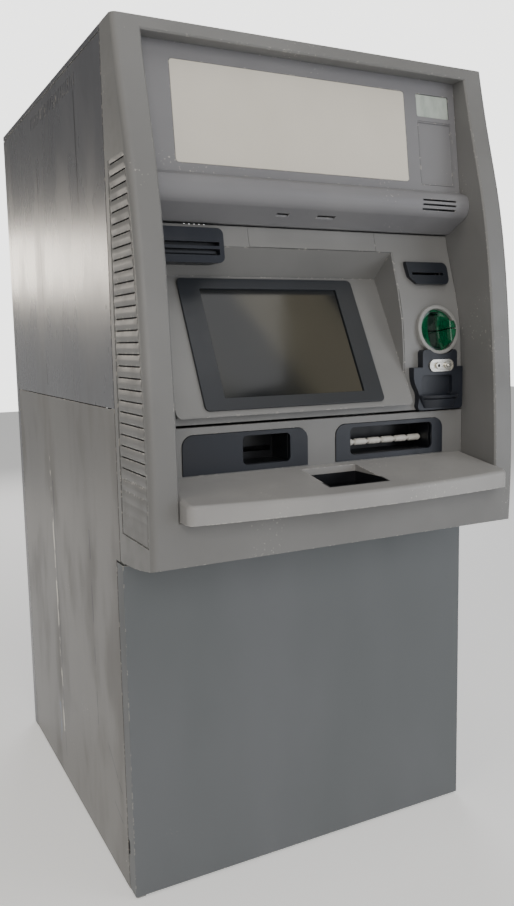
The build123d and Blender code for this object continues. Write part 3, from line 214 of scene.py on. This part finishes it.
# Powder-coated sheet steel: satin, with a faint orange peel and slow drifts in tone and gloss
sidePaint = {"colour": "#55565a", "drift": "#4c4d51", "gloss": 0.27, "dull": 0.38, "grainMm": 3.0,
             "grain": 0.02, "driftMm": 320, "rubMm": 110, "stretch": (1, 1, 0.4), "edgeMm": 0.8,
             "scuffs": 0.62, "chips": 0.56, "scuffColour": "#a8a49a"}
# Painted structural foam: matt, with a fine moulded grain and pale scuffs at the corners
fasciaPaint = {"colour": "#747473", "drift": "#6c6c6b", "gloss": 0.46, "dull": 0.6, "grainMm": 1.6,
               "grain": 0.08, "driftMm": 240, "rubMm": 60, "stretch": (1, 1, 1), "edgeMm": 1.2,
               "scuffs": 0.58, "chips": 0.58, "scuffColour": "#aeaba3"}
# Moulded ABS in a dark colour: smooth and satin, with few chips
darkAbs = dict(fasciaPaint, colour="#2c2f34", drift="#26292d", gloss=0.34, dull=0.46, grain=0.04, scuffs=0.8,
               chips=0.9, scuffColour="#5a5d62")


def powderCoat(name, look, lines=()):
    return paintedSurface(name, look, {"IOR": 1.5}, lines)


def mouldedPlastic(name, look):
    return paintedSurface(name, look, {"IOR": 1.48})


# Bare metal: all its colour is in its reflections, which a fine grain softens
def metal(name, look):
    material, tree, shader, place = startMaterial(name, {"Metallic": 1.0})
    grain = noiseMask(tree, place, look["grainMm"], 0.3, 0.7, 4.0, look["stretch"])
    colour = maskedMix(tree, grain, linear(look["colour"]), linear(look["drift"]))
    tree.links.new(colour, shader.inputs["Base Color"])
    tree.links.new(maskedMix(tree, grain, look["gloss"], look["dull"]), shader.inputs["Roughness"])
    softBump(tree, shader, place, {"edgeMm": 0.6, "grainMm": 2.0, "grain": 0.02})
    return material


# Glass or clear plastic: sharp reflections that finger smears dull in patches
def glassy(name, look):
    material, tree, shader, place = startMaterial(
        name, {"IOR": look["ior"], "Transmission Weight": look["clear"]})
    smear = noiseMask(tree, place, look["smearMm"], 0.35, 0.7, 4.0, (1, 1, 0.5))
    colour = maskedMix(tree, smear, linear(look["colour"]), linear(look["drift"]))
    if "band" in look:
        colour = maskedMix(tree, insideBox(tree, place, look["band"]), colour, linear(look["bandColour"]))
    tree.links.new(colour, shader.inputs["Base Color"])
    tree.links.new(maskedMix(tree, smear, look["gloss"], look["dull"]), shader.inputs["Roughness"])
    return material


# Scuff lines run down the side panels; y counts from the lower door's face, both in metres
def scuff(y0, z0, y1, z1, width, wobble, gaps, seed, colour):
    return {"start": (doorFace + y0, z0), "end": (doorFace + y1, z1), "width": width, "wobble": wobble,
            "gaps": gaps, "seed": seed, "colour": colour}


upperScuffs = (scuff(0.190, 1.330, 0.194, 1.568, 4.2, 3, 0.30, 0.2, "#222227"),
               scuff(0.525, 0.985, 0.528, 1.480, 5.0, 8, 0.44, 1.2, "#28282e"),
               scuff(0.128, 1.335, 0.131, 1.400, 2.4, 3, 0.42, 2.2, "#3a3a3f"))
lowerScuffs = (scuff(0.528, 0.120, 0.545, 0.840, 6.0, 12, 0.50, 4.4, "#d0cbbe"),
               scuff(0.520, 0.060, 0.524, 0.760, 4.0, 8, 0.44, 5.4, "#3c3d43"),
               scuff(0.560, 0.080, 0.562, 0.190, 12.0, 14, 0.50, 8.1, "#5c6779"),
               scuff(0.215, 0.270, 0.222, 0.700, 3.4, 5, 0.47, 6.1, "#3f3f44"),
               scuff(0.060, 0.190, 0.150, 0.262, 2.8, 5, 0.44, 9.3, "#444449"),
               scuff(0.050, 0.120, 0.120, 0.150, 2.6, 5, 0.46, 9.9, "#444449"),
               scuff(0.006, 0.030, 0.016, 0.046, 6.0, 6, 0.35, 3.3, "#c9c6bd"))

finishes = {
    # Rear frame, roof and service door: dark grey, satin, with soft highlights
    "side_paint": powderCoat("powderCoatedSteel", sidePaint),
    # Upper sides: the same coat with long dark scuffs
    "upperSide": powderCoat("powderCoatUpperSide", sidePaint, upperScuffs),
    # Lower sides: browner and duller, with a long pale scrape where the paint is worn
    "lowerSide": powderCoat("powderCoatLowerSide", dict(sidePaint, colour="#64625f", drift="#595755",
                                                        gloss=0.34, dull=0.5), lowerScuffs),
    # Lower front door: grey with a trace of blue, nearly matt
    "door_paint": powderCoat("powderCoatDoor", dict(sidePaint, colour="#5d6063", drift="#565a5c", gloss=0.46,
                                                    dull=0.58, scuffs=0.72)),
    # Safe: a flat coat with little gloss
    "safe_steel": powderCoat("safePaint", dict(sidePaint, colour="#5b5d60", drift="#535558", gloss=0.5,
                                               dull=0.6)),
    # Zinc-plated steel: pale grey metal with cloudy, soft reflections
    "frame_steel": metal("zincPlatedSteel", {"colour": "#a7a7a2", "drift": "#8f908d", "gloss": 0.34,
                                             "dull": 0.5, "grainMm": 30, "stretch": (1, 1, 1)}),
    # Fascia frame: mid grey and matt, pale at its scuffed corners
    "fascia_grey": mouldedPlastic("paintedFoamFascia", fasciaPaint),
    # Hood and blank panel: a touch lighter than the frame around them
    "hood": mouldedPlastic("paintedFoamHood", dict(fasciaPaint, colour="#78787a", drift="#717174")),
    # Inner panels: lighter and a little smoother, with few scuffs
    "inner_grey": mouldedPlastic("paintedFoamInner", dict(fasciaPaint, colour="#7c7c7b", drift="#737372",
                                                          gloss=0.42, dull=0.55, scuffs=0.7)),
    # Shelf: the palest grey, with a low sheen where hands rub it, and black painted shade down the keypad bay's
    # walls
    "shelf_grey": mouldedPlastic("paintedFoamShelf", dict(fasciaPaint, shadeBox=keypadShadeBox, colour="#979694",
                                                          drift="#8d8c8b", gloss=0.36, dull=0.5, chips=0.5,
                                                          scuffColour="#c3c0b8")),
    # Dark trim: charcoal with a satin sheen
    "charcoal": mouldedPlastic("charcoalAbs", darkAbs),
    # Reader base: black with a blue cast
    "navy_black": mouldedPlastic("navyAbs", dict(darkAbs, colour="#1d212a", drift="#181c23")),
    # Deep recesses: painted shade, a flat black that stands in for the shadow inside them, so that they read as
    # holes
    "pit": mouldedPlastic("recessShadeBlack", dict(darkAbs, colour="#15171c", drift="#101216")),
    # Ribbed pads: the frame's paint, more worn where people hold it
    "grip": mouldedPlastic("paintedFoamGrip", dict(fasciaPaint, colour="#717170", drift="#696968", scuffs=0.5,
                                                   chips=0.55, scuffColour="#9b9993")),
    # Sign panel: warm white opal acrylic, smooth and clean
    "sign_cream": mouldedPlastic("opalAcrylic", dict(fasciaPaint, colour="#d2cdc2", drift="#cbc6ba", gloss=0.28,
                                                     dull=0.4, grain=0.01, scuffs=0.9, chips=0.9)),
    # Camera window: pale greenish cover with smears
    "window_glass": glassy("coverGlass", {"colour": "#c3ccc4", "drift": "#aeb8b0", "gloss": 0.08, "dull": 0.2,
                                          "ior": 1.5, "clear": 0.2, "smearMm": 20}),
    # Screen: black glass with clear reflections
    "screen_glass": glassy("displayGlass", {"colour": "#17191b", "drift": "#1d1e1b", "gloss": 0.07,
                                            "dull": 0.12, "ior": 1.5, "clear": 0.0, "smearMm": 120}),
    # Reader ring: silvery satin plastic
    "ring_silver": mouldedPlastic("silverAbs", dict(fasciaPaint, colour="#8f8f8c", drift="#868684", gloss=0.3,
                                                    dull=0.42, scuffs=0.9, chips=0.9)),
    # Card insert: deep green, half clear and glossy
    "reader_green": glassy("greenPolycarbonate", {"band": slotChannel, "bandColour": "#02231a",
                                                  "colour": "#08603e", "drift": "#05482f", "gloss": 0.07,
                                                  "dull": 0.16, "ior": 1.58, "clear": 0.25, "smearMm": 12}),
    # Jack plate: bright aluminium, brushed one way
    "jack_silver": metal("satinAluminium", {"colour": "#cfccc3", "drift": "#bdbab1", "gloss": 0.24,
                                            "dull": 0.36, "grainMm": 8, "stretch": (0.1, 1, 1)}),
    # Rollers: clean white acetal with a soft shine
    "roller_white": mouldedPlastic("whiteAcetal", dict(fasciaPaint, colour="#e4e2da", drift="#d8d5cd",
                                                       gloss=0.3, dull=0.42, grain=0.01, scuffs=0.9,
                                                       chips=0.9)),
    # Bolts, hinges and handle: bright plated steel
    "bolt_steel": metal("platedSteel", {"colour": "#d0d0ce", "drift": "#bdbdbb", "gloss": 0.16, "dull": 0.28,
                                        "grainMm": 20, "stretch": (1, 1, 1)}),
    # Module cases: dark sheet steel, dull
    "module_grey": powderCoat("moduleSheet", dict(sidePaint, colour="#45474a", drift="#3d3f42", gloss=0.42,
                                                  dull=0.55)),
    # Cassettes: near-black plastic, satin
    "cassette_plastic": mouldedPlastic("blackFoam", dict(darkAbs, colour="#2e2f32", drift="#27282a")),
    # Paper roll: matt warm white
    "paper_white": mouldedPlastic("thermalPaper", dict(fasciaPaint, colour="#e6e3da", drift="#dedbd1",
                                                       gloss=0.6, dull=0.7, grain=0.01, scuffs=0.9, chips=0.9)),
    # Combination dial: black and fairly glossy
    "dial_black": mouldedPlastic("blackDial", dict(darkAbs, colour="#1b1b1d", drift="#161618", gloss=0.2,
                                                   dull=0.3)),
}
# These pieces have a finish of their own instead of their slot's; the keypad well and the two transports take
# the black painted shade of the deep recesses
special = {"upper_side_panel_left": "upperSide", "upper_side_panel_right": "upperSide",
           "lower_side_panel_left": "lowerSide", "lower_side_panel_right": "lowerSide", "hood_panel": "hood",
           "blank_panel": "hood", "keypad_well": "pit", "deposit_transport": "pit", "note_transport": "pit",
           "reader_base": "navy_black"}
for part in frame["record"]["subparts"]:
    node = nodes[part["node"]]
    finish = finishes[special.get(part["node"], part["material_slot"])]
    node.data.materials.clear()
    node.data.materials.append(finish)
print("finishes set")


# One modifier from a node tree: its inputs are set by the sockets' identifiers, and the result is a plain mesh
def growMesh(name, tree, sizes, body, replaced=()):
    seedMesh = bpy.data.meshes.new(name + "Seed")
    holder = bpy.data.objects.new(name + "Seed", seedMesh)
    bpy.context.scene.collection.objects.link(holder)
    modifier = holder.modifiers.new("nodes", "NODES")
    modifier.node_group = tree
    for item in tree.interface.items_tree:
        if item.item_type == "SOCKET" and item.in_out == "INPUT" and item.name in sizes:
            modifier[item.identifier] = sizes[item.name]
    bpy.context.view_layer.update()
    graph = bpy.context.evaluated_depsgraph_get()
    mesh = bpy.data.meshes.new_from_object(holder.evaluated_get(graph))
    holder.modifiers.remove(modifier)
    bpy.data.objects.remove(holder)
    mesh.name = name
    piece = bpy.data.objects.new(name, mesh)
    bpy.context.scene.collection.objects.link(piece)
    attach(piece, body)
    if replaced:
        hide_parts(*replaced)
    return piece


# A tree with named inputs, and the node group's outputs that carry them
def newTree(name, inputs):
    tree = bpy.data.node_groups.new(name, "GeometryNodeTree")
    for label, kind, value in inputs:
        tree.interface.new_socket(label, in_out="INPUT", socket_type=kind).default_value = value
    tree.interface.new_socket("Geometry", in_out="OUTPUT", socket_type="NodeSocketGeometry")
    return tree, tree.nodes.new("NodeGroupInput").outputs


# Every tree ends with real geometry in one finish
def endTree(tree, geometry, finish):
    real = put(tree, "GeometryNodeRealizeInstances", links={0: geometry})
    paint = put(tree, "GeometryNodeSetMaterial", {"Material": finish}, {0: real.outputs[0]})
    put(tree, "NodeGroupOutput", links={0: paint.outputs[0]})


# Ribbed grip field on each side of the fascia: rounded pads, one above the other, that run out
# smoothly at the top and near the foot. The front edge follows the fascia's nose. Lengths are in metres;
# the fades, the edge and the border are shares of the field's height or width.
ribs = {"pitch": 0.0205, "depth": 0.0019, "floor": 0.398, "rear": -0.0068, "low": 0.7365, "high": 1.5105,
        "roundness": 1.35, "fadeLow": 0.14, "fadeHigh": 0.07, "edge": 0.03, "edgeGroove": 0.25,
        "endBorder": 0.0025, "curveSpan": 0.2, "stepsPerPad": 12, "stepsAcross": 26}
noseLine = ((0.7365, -0.1478), (0.850, -0.1500), (1.064, -0.1395), (1.210, -0.1225), (1.365, -0.1000),
            (1.472, -0.0730), (1.5105, -0.0626))
ribSide = (("leftGripPads", -1), ("rightGripPads", 1))


def ribTree():
    tree, given = newTree("gripPads", (("Side", "NodeSocketFloat", 1.0), ("Pads", "NodeSocketInt", 38),
                                       ("Depth", "NodeSocketFloat", 0.0017), ("Low", "NodeSocketFloat", 0.0),
                                       ("High", "NodeSocketFloat", 1.0), ("Rear", "NodeSocketFloat", 0.0),
                                       ("Floor", "NodeSocketFloat", 0.4)))
    rows = put(tree, "ShaderNodeMath", {1: ribs["stepsPerPad"], 2: 1}, {0: given["Pads"]},
               operation="MULTIPLY_ADD").outputs[0]
    grid = put(tree, "GeometryNodeMeshGrid",
               {"Size X": 1.0, "Size Y": 1.0, "Vertices X": ribs["stepsAcross"] + 1}, {"Vertices Y": rows})
    spot = put(tree, "ShaderNodeSeparateXYZ", links={0: put(tree, "GeometryNodeInputPosition").outputs[0]})
    across = put(tree, "ShaderNodeMath", {1: 0.5}, {0: spot.outputs[0]}, operation="ADD").outputs[0]
    upward = put(tree, "ShaderNodeMath", {1: 0.5}, {0: spot.outputs[1]}, operation="ADD").outputs[0]
    nose = put(tree, "ShaderNodeFloatCurve", links={"Value": upward})
    curve = nose.mapping.curves[0]
    span = ribs["high"] - ribs["low"]
    reach = ribs["curveSpan"]
    spots = [((z - ribs["low"]) / span, (y + reach) / reach) for z, y in noseLine]
    curve.points[0].location, curve.points[1].location = spots[0], spots[-1]
    for spotAt in spots[1:-1]:
        curve.points.new(*spotAt)
    nose.mapping.update()
    noseY = put(tree, "ShaderNodeMath", {1: reach, 2: doorFace - reach}, {0: nose.outputs[0]},
                operation="MULTIPLY_ADD").outputs[0]
    rearY = put(tree, "ShaderNodeMath", {1: doorFace}, {0: given["Rear"]}, operation="ADD").outputs[0]
    depthWise = put(tree, "ShaderNodeMix", {}, {0: across, 2: rearY, 3: noseY}, data_type="FLOAT")
    height = put(tree, "ShaderNodeMix", {}, {0: upward, 2: given["Low"], 3: given["High"]}, data_type="FLOAT")
    turns = put(tree, "ShaderNodeMath", links={0: upward, 1: given["Pads"]}, operation="MULTIPLY").outputs[0]
    phase = put(tree, "ShaderNodeMath", links={0: turns}, operation="FRACT").outputs[0]
    swing = put(tree, "ShaderNodeMath", {1: 2.0, 2: -1.0}, {0: phase}, operation="MULTIPLY_ADD").outputs[0]
    fromMiddle = put(tree, "ShaderNodeMath", links={0: swing}, operation="ABSOLUTE").outputs[0]
    groove = put(tree, "ShaderNodeMath", {1: ribs["roundness"]}, {0: fromMiddle}, operation="POWER").outputs[0]
    fadeLow = put(tree, "ShaderNodeMapRange", {1: 0.0, 2: ribs["fadeLow"], 3: 0.0, 4: 1.0},
                  {0: upward}, interpolation_type="SMOOTHSTEP").outputs[0]
    fadeHigh = put(tree, "ShaderNodeMapRange", {1: 1.0, 2: 1.0 - ribs["fadeHigh"], 3: 0.0, 4: 1.0},
                   {0: upward}, interpolation_type="SMOOTHSTEP").outputs[0]
    backward = put(tree, "ShaderNodeMath", {0: 1.0}, {1: across}, operation="SUBTRACT").outputs[0]
    sides = put(tree, "ShaderNodeMath", links={0: across, 1: backward}, operation="MINIMUM").outputs[0]
    runOut = put(tree, "ShaderNodeMapRange",
                 {1: 0.0, 2: 2.2 * ribs["edge"], 3: ribs["edgeGroove"], 4: 1.0},
                 {0: sides}, interpolation_type="SMOOTHSTEP").outputs[0]
    fade = put(tree, "ShaderNodeMath", links={0: fadeLow, 1: fadeHigh}, operation="MULTIPLY").outputs[0]
    strength = put(tree, "ShaderNodeMath", links={0: fade, 1: runOut}, operation="MULTIPLY").outputs[0]
    dip = put(tree, "ShaderNodeMath", links={0: groove, 1: strength}, operation="MULTIPLY").outputs[0]
    crest = put(tree, "ShaderNodeMath", {0: 1.0}, {1: dip}, operation="SUBTRACT").outputs[0]
    border = put(tree, "ShaderNodeMapRange", {1: 0.0, 2: ribs["edge"] / 2, 3: 0.0, 4: 1.0},
                 {0: sides}).outputs[0]
    downward = put(tree, "ShaderNodeMath", {0: 1.0}, {1: upward}, operation="SUBTRACT").outputs[0]
    ends = put(tree, "ShaderNodeMath", links={0: upward, 1: downward}, operation="MINIMUM").outputs[0]
    endBorder = put(tree, "ShaderNodeMapRange", {1: 0.0, 2: ribs["endBorder"], 3: 0.0, 4: 1.0},
                    {0: ends}).outputs[0]
    framed = put(tree, "ShaderNodeMath", links={0: border, 1: endBorder}, operation="MULTIPLY").outputs[0]
    rise = put(tree, "ShaderNodeMath", links={0: crest, 1: framed}, operation="MULTIPLY").outputs[0]
    reached = put(tree, "ShaderNodeMath", links={0: rise, 1: given["Depth"], 2: given["Floor"]},
                  operation="MULTIPLY_ADD").outputs[0]
    outward = put(tree, "ShaderNodeMath", links={0: reached, 1: given["Side"]}, operation="MULTIPLY").outputs[0]
    place = put(tree, "ShaderNodeCombineXYZ", links={0: outward, 1: depthWise.outputs[0], 2: height.outputs[0]})
    skin = put(tree, "GeometryNodeSetPosition", links={0: grid.outputs[0], "Position": place.outputs[0]})
    inner = put(tree, "ShaderNodeMath", links={0: given["Side"], 1: given["Floor"]}, operation="MULTIPLY")
    flat = put(tree, "ShaderNodeCombineXYZ",
               links={0: inner.outputs[0], 1: depthWise.outputs[0], 2: height.outputs[0]})
    under = put(tree, "GeometryNodeSetPosition", links={0: grid.outputs[0], "Position": flat.outputs[0]})
    backSide = put(tree, "GeometryNodeFlipFaces", links={0: under.outputs[0]})
    both = put(tree, "GeometryNodeJoinGeometry")
    for shell in (skin, backSide):
        tree.links.new(shell.outputs[0], both.inputs[0])
    welded = put(tree, "GeometryNodeMergeByDistance", {"Distance": 1e-5}, {0: both.outputs[0]})
    smooth = put(tree, "GeometryNodeSetShadeSmooth", links={0: welded.outputs[0]})
    endTree(tree, smooth.outputs[0], finishes["grip"])
    return tree


padTree = ribTree()
padCount = round((ribs["high"] - ribs["low"]) / ribs["pitch"])
for name, side in ribSide:
    sizes = {"Side": float(side), "Pads": padCount, "Depth": ribs["depth"], "Low": ribs["low"],
             "High": ribs["high"], "Rear": ribs["rear"], "Floor": ribs["floor"]}
    pads = growMesh(name, padTree, sizes, "cabinet")
    shell = bmesh.new()
    shell.from_mesh(pads.data)
    bmesh.ops.recalc_face_normals(shell, faces=shell.faces)
    shell.to_mesh(pads.data)
    shell.free()
print("grip pads made")


# Presenter rollers: white blocks on one shaft, each with softened rims and two shallow grooves
rollers = {"count": 6, "width": 0.0292, "radius": 0.00695, "shaft": 0.0039, "endGap": 0.003,
           "rimSharpness": 14.0, "rimDrop": 0.22, "grooveAt": 0.25, "grooveHalf": 0.045, "grooveDrop": 0.05,
           "facets": 40, "rings": 24, "shaftFacets": 24, "shaftRings": 4}


def rollerTree():
    tree, given = newTree("presenterRollers", (("Count", "NodeSocketInt", 6),
                                               ("Width", "NodeSocketFloat", 0.03),
                                               ("Radius", "NodeSocketFloat", 0.007),
                                               ("Shaft", "NodeSocketFloat", 0.004),
                                               ("Start", "NodeSocketVector", (0, 0, 0)),
                                               ("Length", "NodeSocketFloat", 0.2)))
    block = put(tree, "GeometryNodeMeshCylinder",
                {"Vertices": rollers["facets"], "Side Segments": rollers["rings"], "Fill Segments": 2},
                {"Radius": given["Radius"], "Depth": given["Width"]})
    position = put(tree, "GeometryNodeInputPosition").outputs[0]
    spot = put(tree, "ShaderNodeSeparateXYZ", links={0: position})
    share = put(tree, "ShaderNodeMath", links={0: spot.outputs[2], 1: given["Width"]},
                operation="DIVIDE").outputs[0]
    along = put(tree, "ShaderNodeMath", links={0: share}, operation="ABSOLUTE").outputs[0]
    doubled = put(tree, "ShaderNodeMath", {1: 2.0}, {0: along}, operation="MULTIPLY").outputs[0]
    towardRim = put(tree, "ShaderNodeMath", {1: rollers["rimSharpness"]}, {0: doubled},
                    operation="POWER").outputs[0]
    rim = put(tree, "ShaderNodeMath", {1: rollers["rimDrop"]}, {0: towardRim}, operation="MULTIPLY").outputs[0]
    inGroove = put(tree, "ShaderNodeMath", {1: rollers["grooveAt"], 2: rollers["grooveHalf"]}, {0: along},
                   operation="COMPARE").outputs[0]
    drop = put(tree, "ShaderNodeMath", {1: rollers["grooveDrop"]}, {0: inGroove, 2: rim},
               operation="MULTIPLY_ADD").outputs[0]
    thin = put(tree, "ShaderNodeMath", {0: 1.0}, {1: drop}, operation="SUBTRACT").outputs[0]
    narrowed = put(tree, "ShaderNodeCombineXYZ", {2: 1.0}, {0: thin, 1: thin})
    place = put(tree, "ShaderNodeVectorMath", links={0: narrowed.outputs[0], 1: position}, operation="MULTIPLY")
    shaped = put(tree, "GeometryNodeSetPosition", links={0: block.outputs[0], "Position": place.outputs[0]})
    pitch = put(tree, "ShaderNodeMath", links={0: given["Length"], 1: given["Count"]},
                operation="DIVIDE").outputs[0]
    step = put(tree, "ShaderNodeCombineXYZ", links={0: pitch})
    half = put(tree, "ShaderNodeVectorMath", {1: (0.5, 0.5, 0.5)}, {0: step.outputs[0]}, operation="MULTIPLY")
    first = put(tree, "ShaderNodeVectorMath", links={0: given["Start"], 1: half.outputs[0]}, operation="ADD")
    row = put(tree, "GeometryNodeMeshLine", links={"Count": given["Count"], "Start Location": first.outputs[0],
                                                   "Offset": step.outputs[0]})
    lying = put(tree, "GeometryNodeTransform", {"Rotation": (0, math.pi / 2, 0)}, {0: shaped.outputs[0]})
    blocks = put(tree, "GeometryNodeInstanceOnPoints", links={0: row.outputs[0], "Instance": lying.outputs[0]})
    rod = put(tree, "GeometryNodeMeshCylinder",
              {"Vertices": rollers["shaftFacets"], "Side Segments": rollers["shaftRings"]},
              {"Radius": given["Shaft"], "Depth": given["Length"]})
    halfLength = put(tree, "ShaderNodeMath", {1: 2.0}, {0: given["Length"]}, operation="DIVIDE").outputs[0]
    middle = put(tree, "ShaderNodeCombineXYZ", links={0: halfLength})
    centre = put(tree, "ShaderNodeVectorMath", links={0: given["Start"], 1: middle.outputs[0]}, operation="ADD")
    shaft = put(tree, "GeometryNodeTransform", {"Rotation": (0, math.pi / 2, 0)},
                {0: rod.outputs[0], "Translation": centre.outputs[0]})
    both = put(tree, "GeometryNodeJoinGeometry")
    for shape in (blocks, shaft):
        tree.links.new(shape.outputs[0], both.inputs[0])
    endTree(tree, both.outputs[0], finishes["roller_white"])
    return tree


low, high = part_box("presenter_rollers")
rollerSizes = {"Count": rollers["count"], "Width": rollers["width"], "Radius": rollers["radius"],
               "Shaft": rollers["shaft"], "Length": high.x - low.x - 2 * rollers["endGap"],
               "Start": (low.x + rollers["endGap"], (low.y + high.y) / 2, (low.z + high.z) / 2)}
rollerPiece = growMesh("presenterRollerSet", rollerTree(), rollerSizes, "rollers", ("presenter_rollers",))
print("rollers made")

# Camera, at the customer's left, looking slightly down
view = {"place": (-0.857, doorFace - 1.4498, 1.0835), "yaw": 0.47152, "pitch": -0.12751, "roll": -0.01931,
        "lens": 33.02, "sensor": 36, "shiftX": 0.0008, "shiftY": -0.0075}


def addCamera(look):
    yaw, pitch, roll = look["yaw"], look["pitch"], look["roll"]
    forward = Vector((math.sin(yaw) * math.cos(pitch), math.cos(yaw) * math.cos(pitch), math.sin(pitch)))
    level = Vector((math.cos(yaw), -math.sin(yaw), 0))
    upright = level.cross(forward)
    right = level * math.cos(roll) + upright * math.sin(roll)
    up = upright * math.cos(roll) - level * math.sin(roll)
    camera = bpy.data.objects.new("camera", bpy.data.cameras.new("camera"))
    bpy.context.scene.collection.objects.link(camera)
    camera.data.lens = look["lens"]
    camera.data.sensor_width = look["sensor"]
    camera.data.shift_x = look["shiftX"]
    camera.data.shift_y = look["shiftY"]
    turn = Matrix((right, up, -forward)).transposed().to_4x4()
    camera.matrix_world = Matrix.Translation(Vector(look["place"])) @ turn
    bpy.context.scene.camera = camera


addCamera(view)


# Floor: plain, pale and matt, lifted by a little light of its own so that only a soft shadow shows
ground = {"reach": 12.0, "colour": "#f1f0ee", "dull": 0.7, "glowColour": "#f4f4f2", "glow": 0.45}


def addFloor(look):
    reach = look["reach"]
    corners = [(-reach, -reach, 0), (reach, -reach, 0), (reach, reach, 0), (-reach, reach, 0)]
    mesh = bpy.data.meshes.new("floor")
    mesh.from_pydata(corners, [], [(0, 1, 2, 3)])
    floor = bpy.data.objects.new("floor", mesh)
    bpy.context.scene.collection.objects.link(floor)
    values = {"Roughness": look["dull"], "Base Color": linear(look["colour"]),
              "Emission Color": linear(look["glowColour"]), "Emission Strength": look["glow"]}
    mesh.materials.append(startMaterial("paleFloor", values)[0])


addFloor(ground)

# Soft panels of light around the machine; the strip and the ceiling pane show in the side and the glass
lights = {
    "key": {"place": (-1.5, -4.4, 2.7), "target": (0, 0, 0.85), "size": (3.0, 2.2), "power": 92,
            "colour": "#fffaf4"},
    "fill": {"place": (2.9, -3.2, 1.4), "target": (0, 0, 0.7), "size": (2.4, 2.4), "power": 44,
             "colour": "#eef4ff"},
    "above": {"place": (0.2, -1.6, 3.8), "target": (0, -0.3, 0.8), "size": (2.6, 2.0), "power": 26,
              "colour": "#ffffff"},
    "left": {"place": (-3.0, -1.2, 3.0), "target": (-0.4, 0.0, 0.8), "size": (1.6, 1.2), "power": 20,
             "colour": "#fff6ea"},
    "rear": {"place": (1.9, 4.0, 2.5), "target": (0.1, 0.3, 0.9), "size": (2.4, 2.0), "power": 75,
             "colour": "#f4f7ff"},
    "strip": {"place": (-1.5, 4.6, 1.68), "target": (-0.4, 1.9, 1.3), "size": (2.8, 0.42), "power": 34,
              "colour": "#fff4e4"},
    "ceilingPane": {"place": (1.72, -1.98, 3.4), "target": (-0.066, -0.36, 1.08), "size": (0.42, 1.5),
                    "power": 2.4, "colour": "#fff0c8"},
}
for name, look in lights.items():
    lamp = bpy.data.lights.new(name, "AREA")
    lamp.shape = "RECTANGLE"
    lamp.energy = look["power"]
    lamp.size, lamp.size_y = look["size"]
    lamp.color = linear(look["colour"])[:3]
    holder = bpy.data.objects.new(name, lamp)
    bpy.context.scene.collection.objects.link(holder)
    turn = (Vector(look["target"]) - Vector(look["place"])).to_track_quat("-Z", "Y").to_matrix()
    holder.matrix_world = Matrix.Translation(Vector(look["place"])) @ turn.to_4x4()

# Surroundings: a room that is bright at the horizon and dim above, behind a plain pale backdrop
room = {"backdrop": "#f4f4f2", "glow": 3.2, "low": 0.62, "high": 0.20, "turnLow": 0.02, "turnHigh": 0.2}
world = bpy.data.worlds.new("studio")
bpy.context.scene.world = world
world.use_nodes = True
tree = world.node_tree
tree.nodes.clear()
sky = put(tree, "ShaderNodeTexCoord").outputs["Generated"]
height = put(tree, "ShaderNodeSeparateXYZ", links={0: sky}).outputs[2]
glow = put(tree, "ShaderNodeMapRange",
           {1: room["turnLow"], 2: room["turnHigh"], 3: room["low"], 4: room["high"]}, {0: height}).outputs[0]
around = put(tree, "ShaderNodeBackground", links={"Strength": glow})
backdrop = put(tree, "ShaderNodeBackground", {"Color": linear(room["backdrop"]), "Strength": room["glow"]})
seen = put(tree, "ShaderNodeLightPath").outputs["Is Camera Ray"]
mixed = put(tree, "ShaderNodeMixShader", links={0: seen, 1: around.outputs[0], 2: backdrop.outputs[0]})
put(tree, "ShaderNodeOutputWorld", links={"Surface": mixed.outputs[0]})
print("camera and lights set")
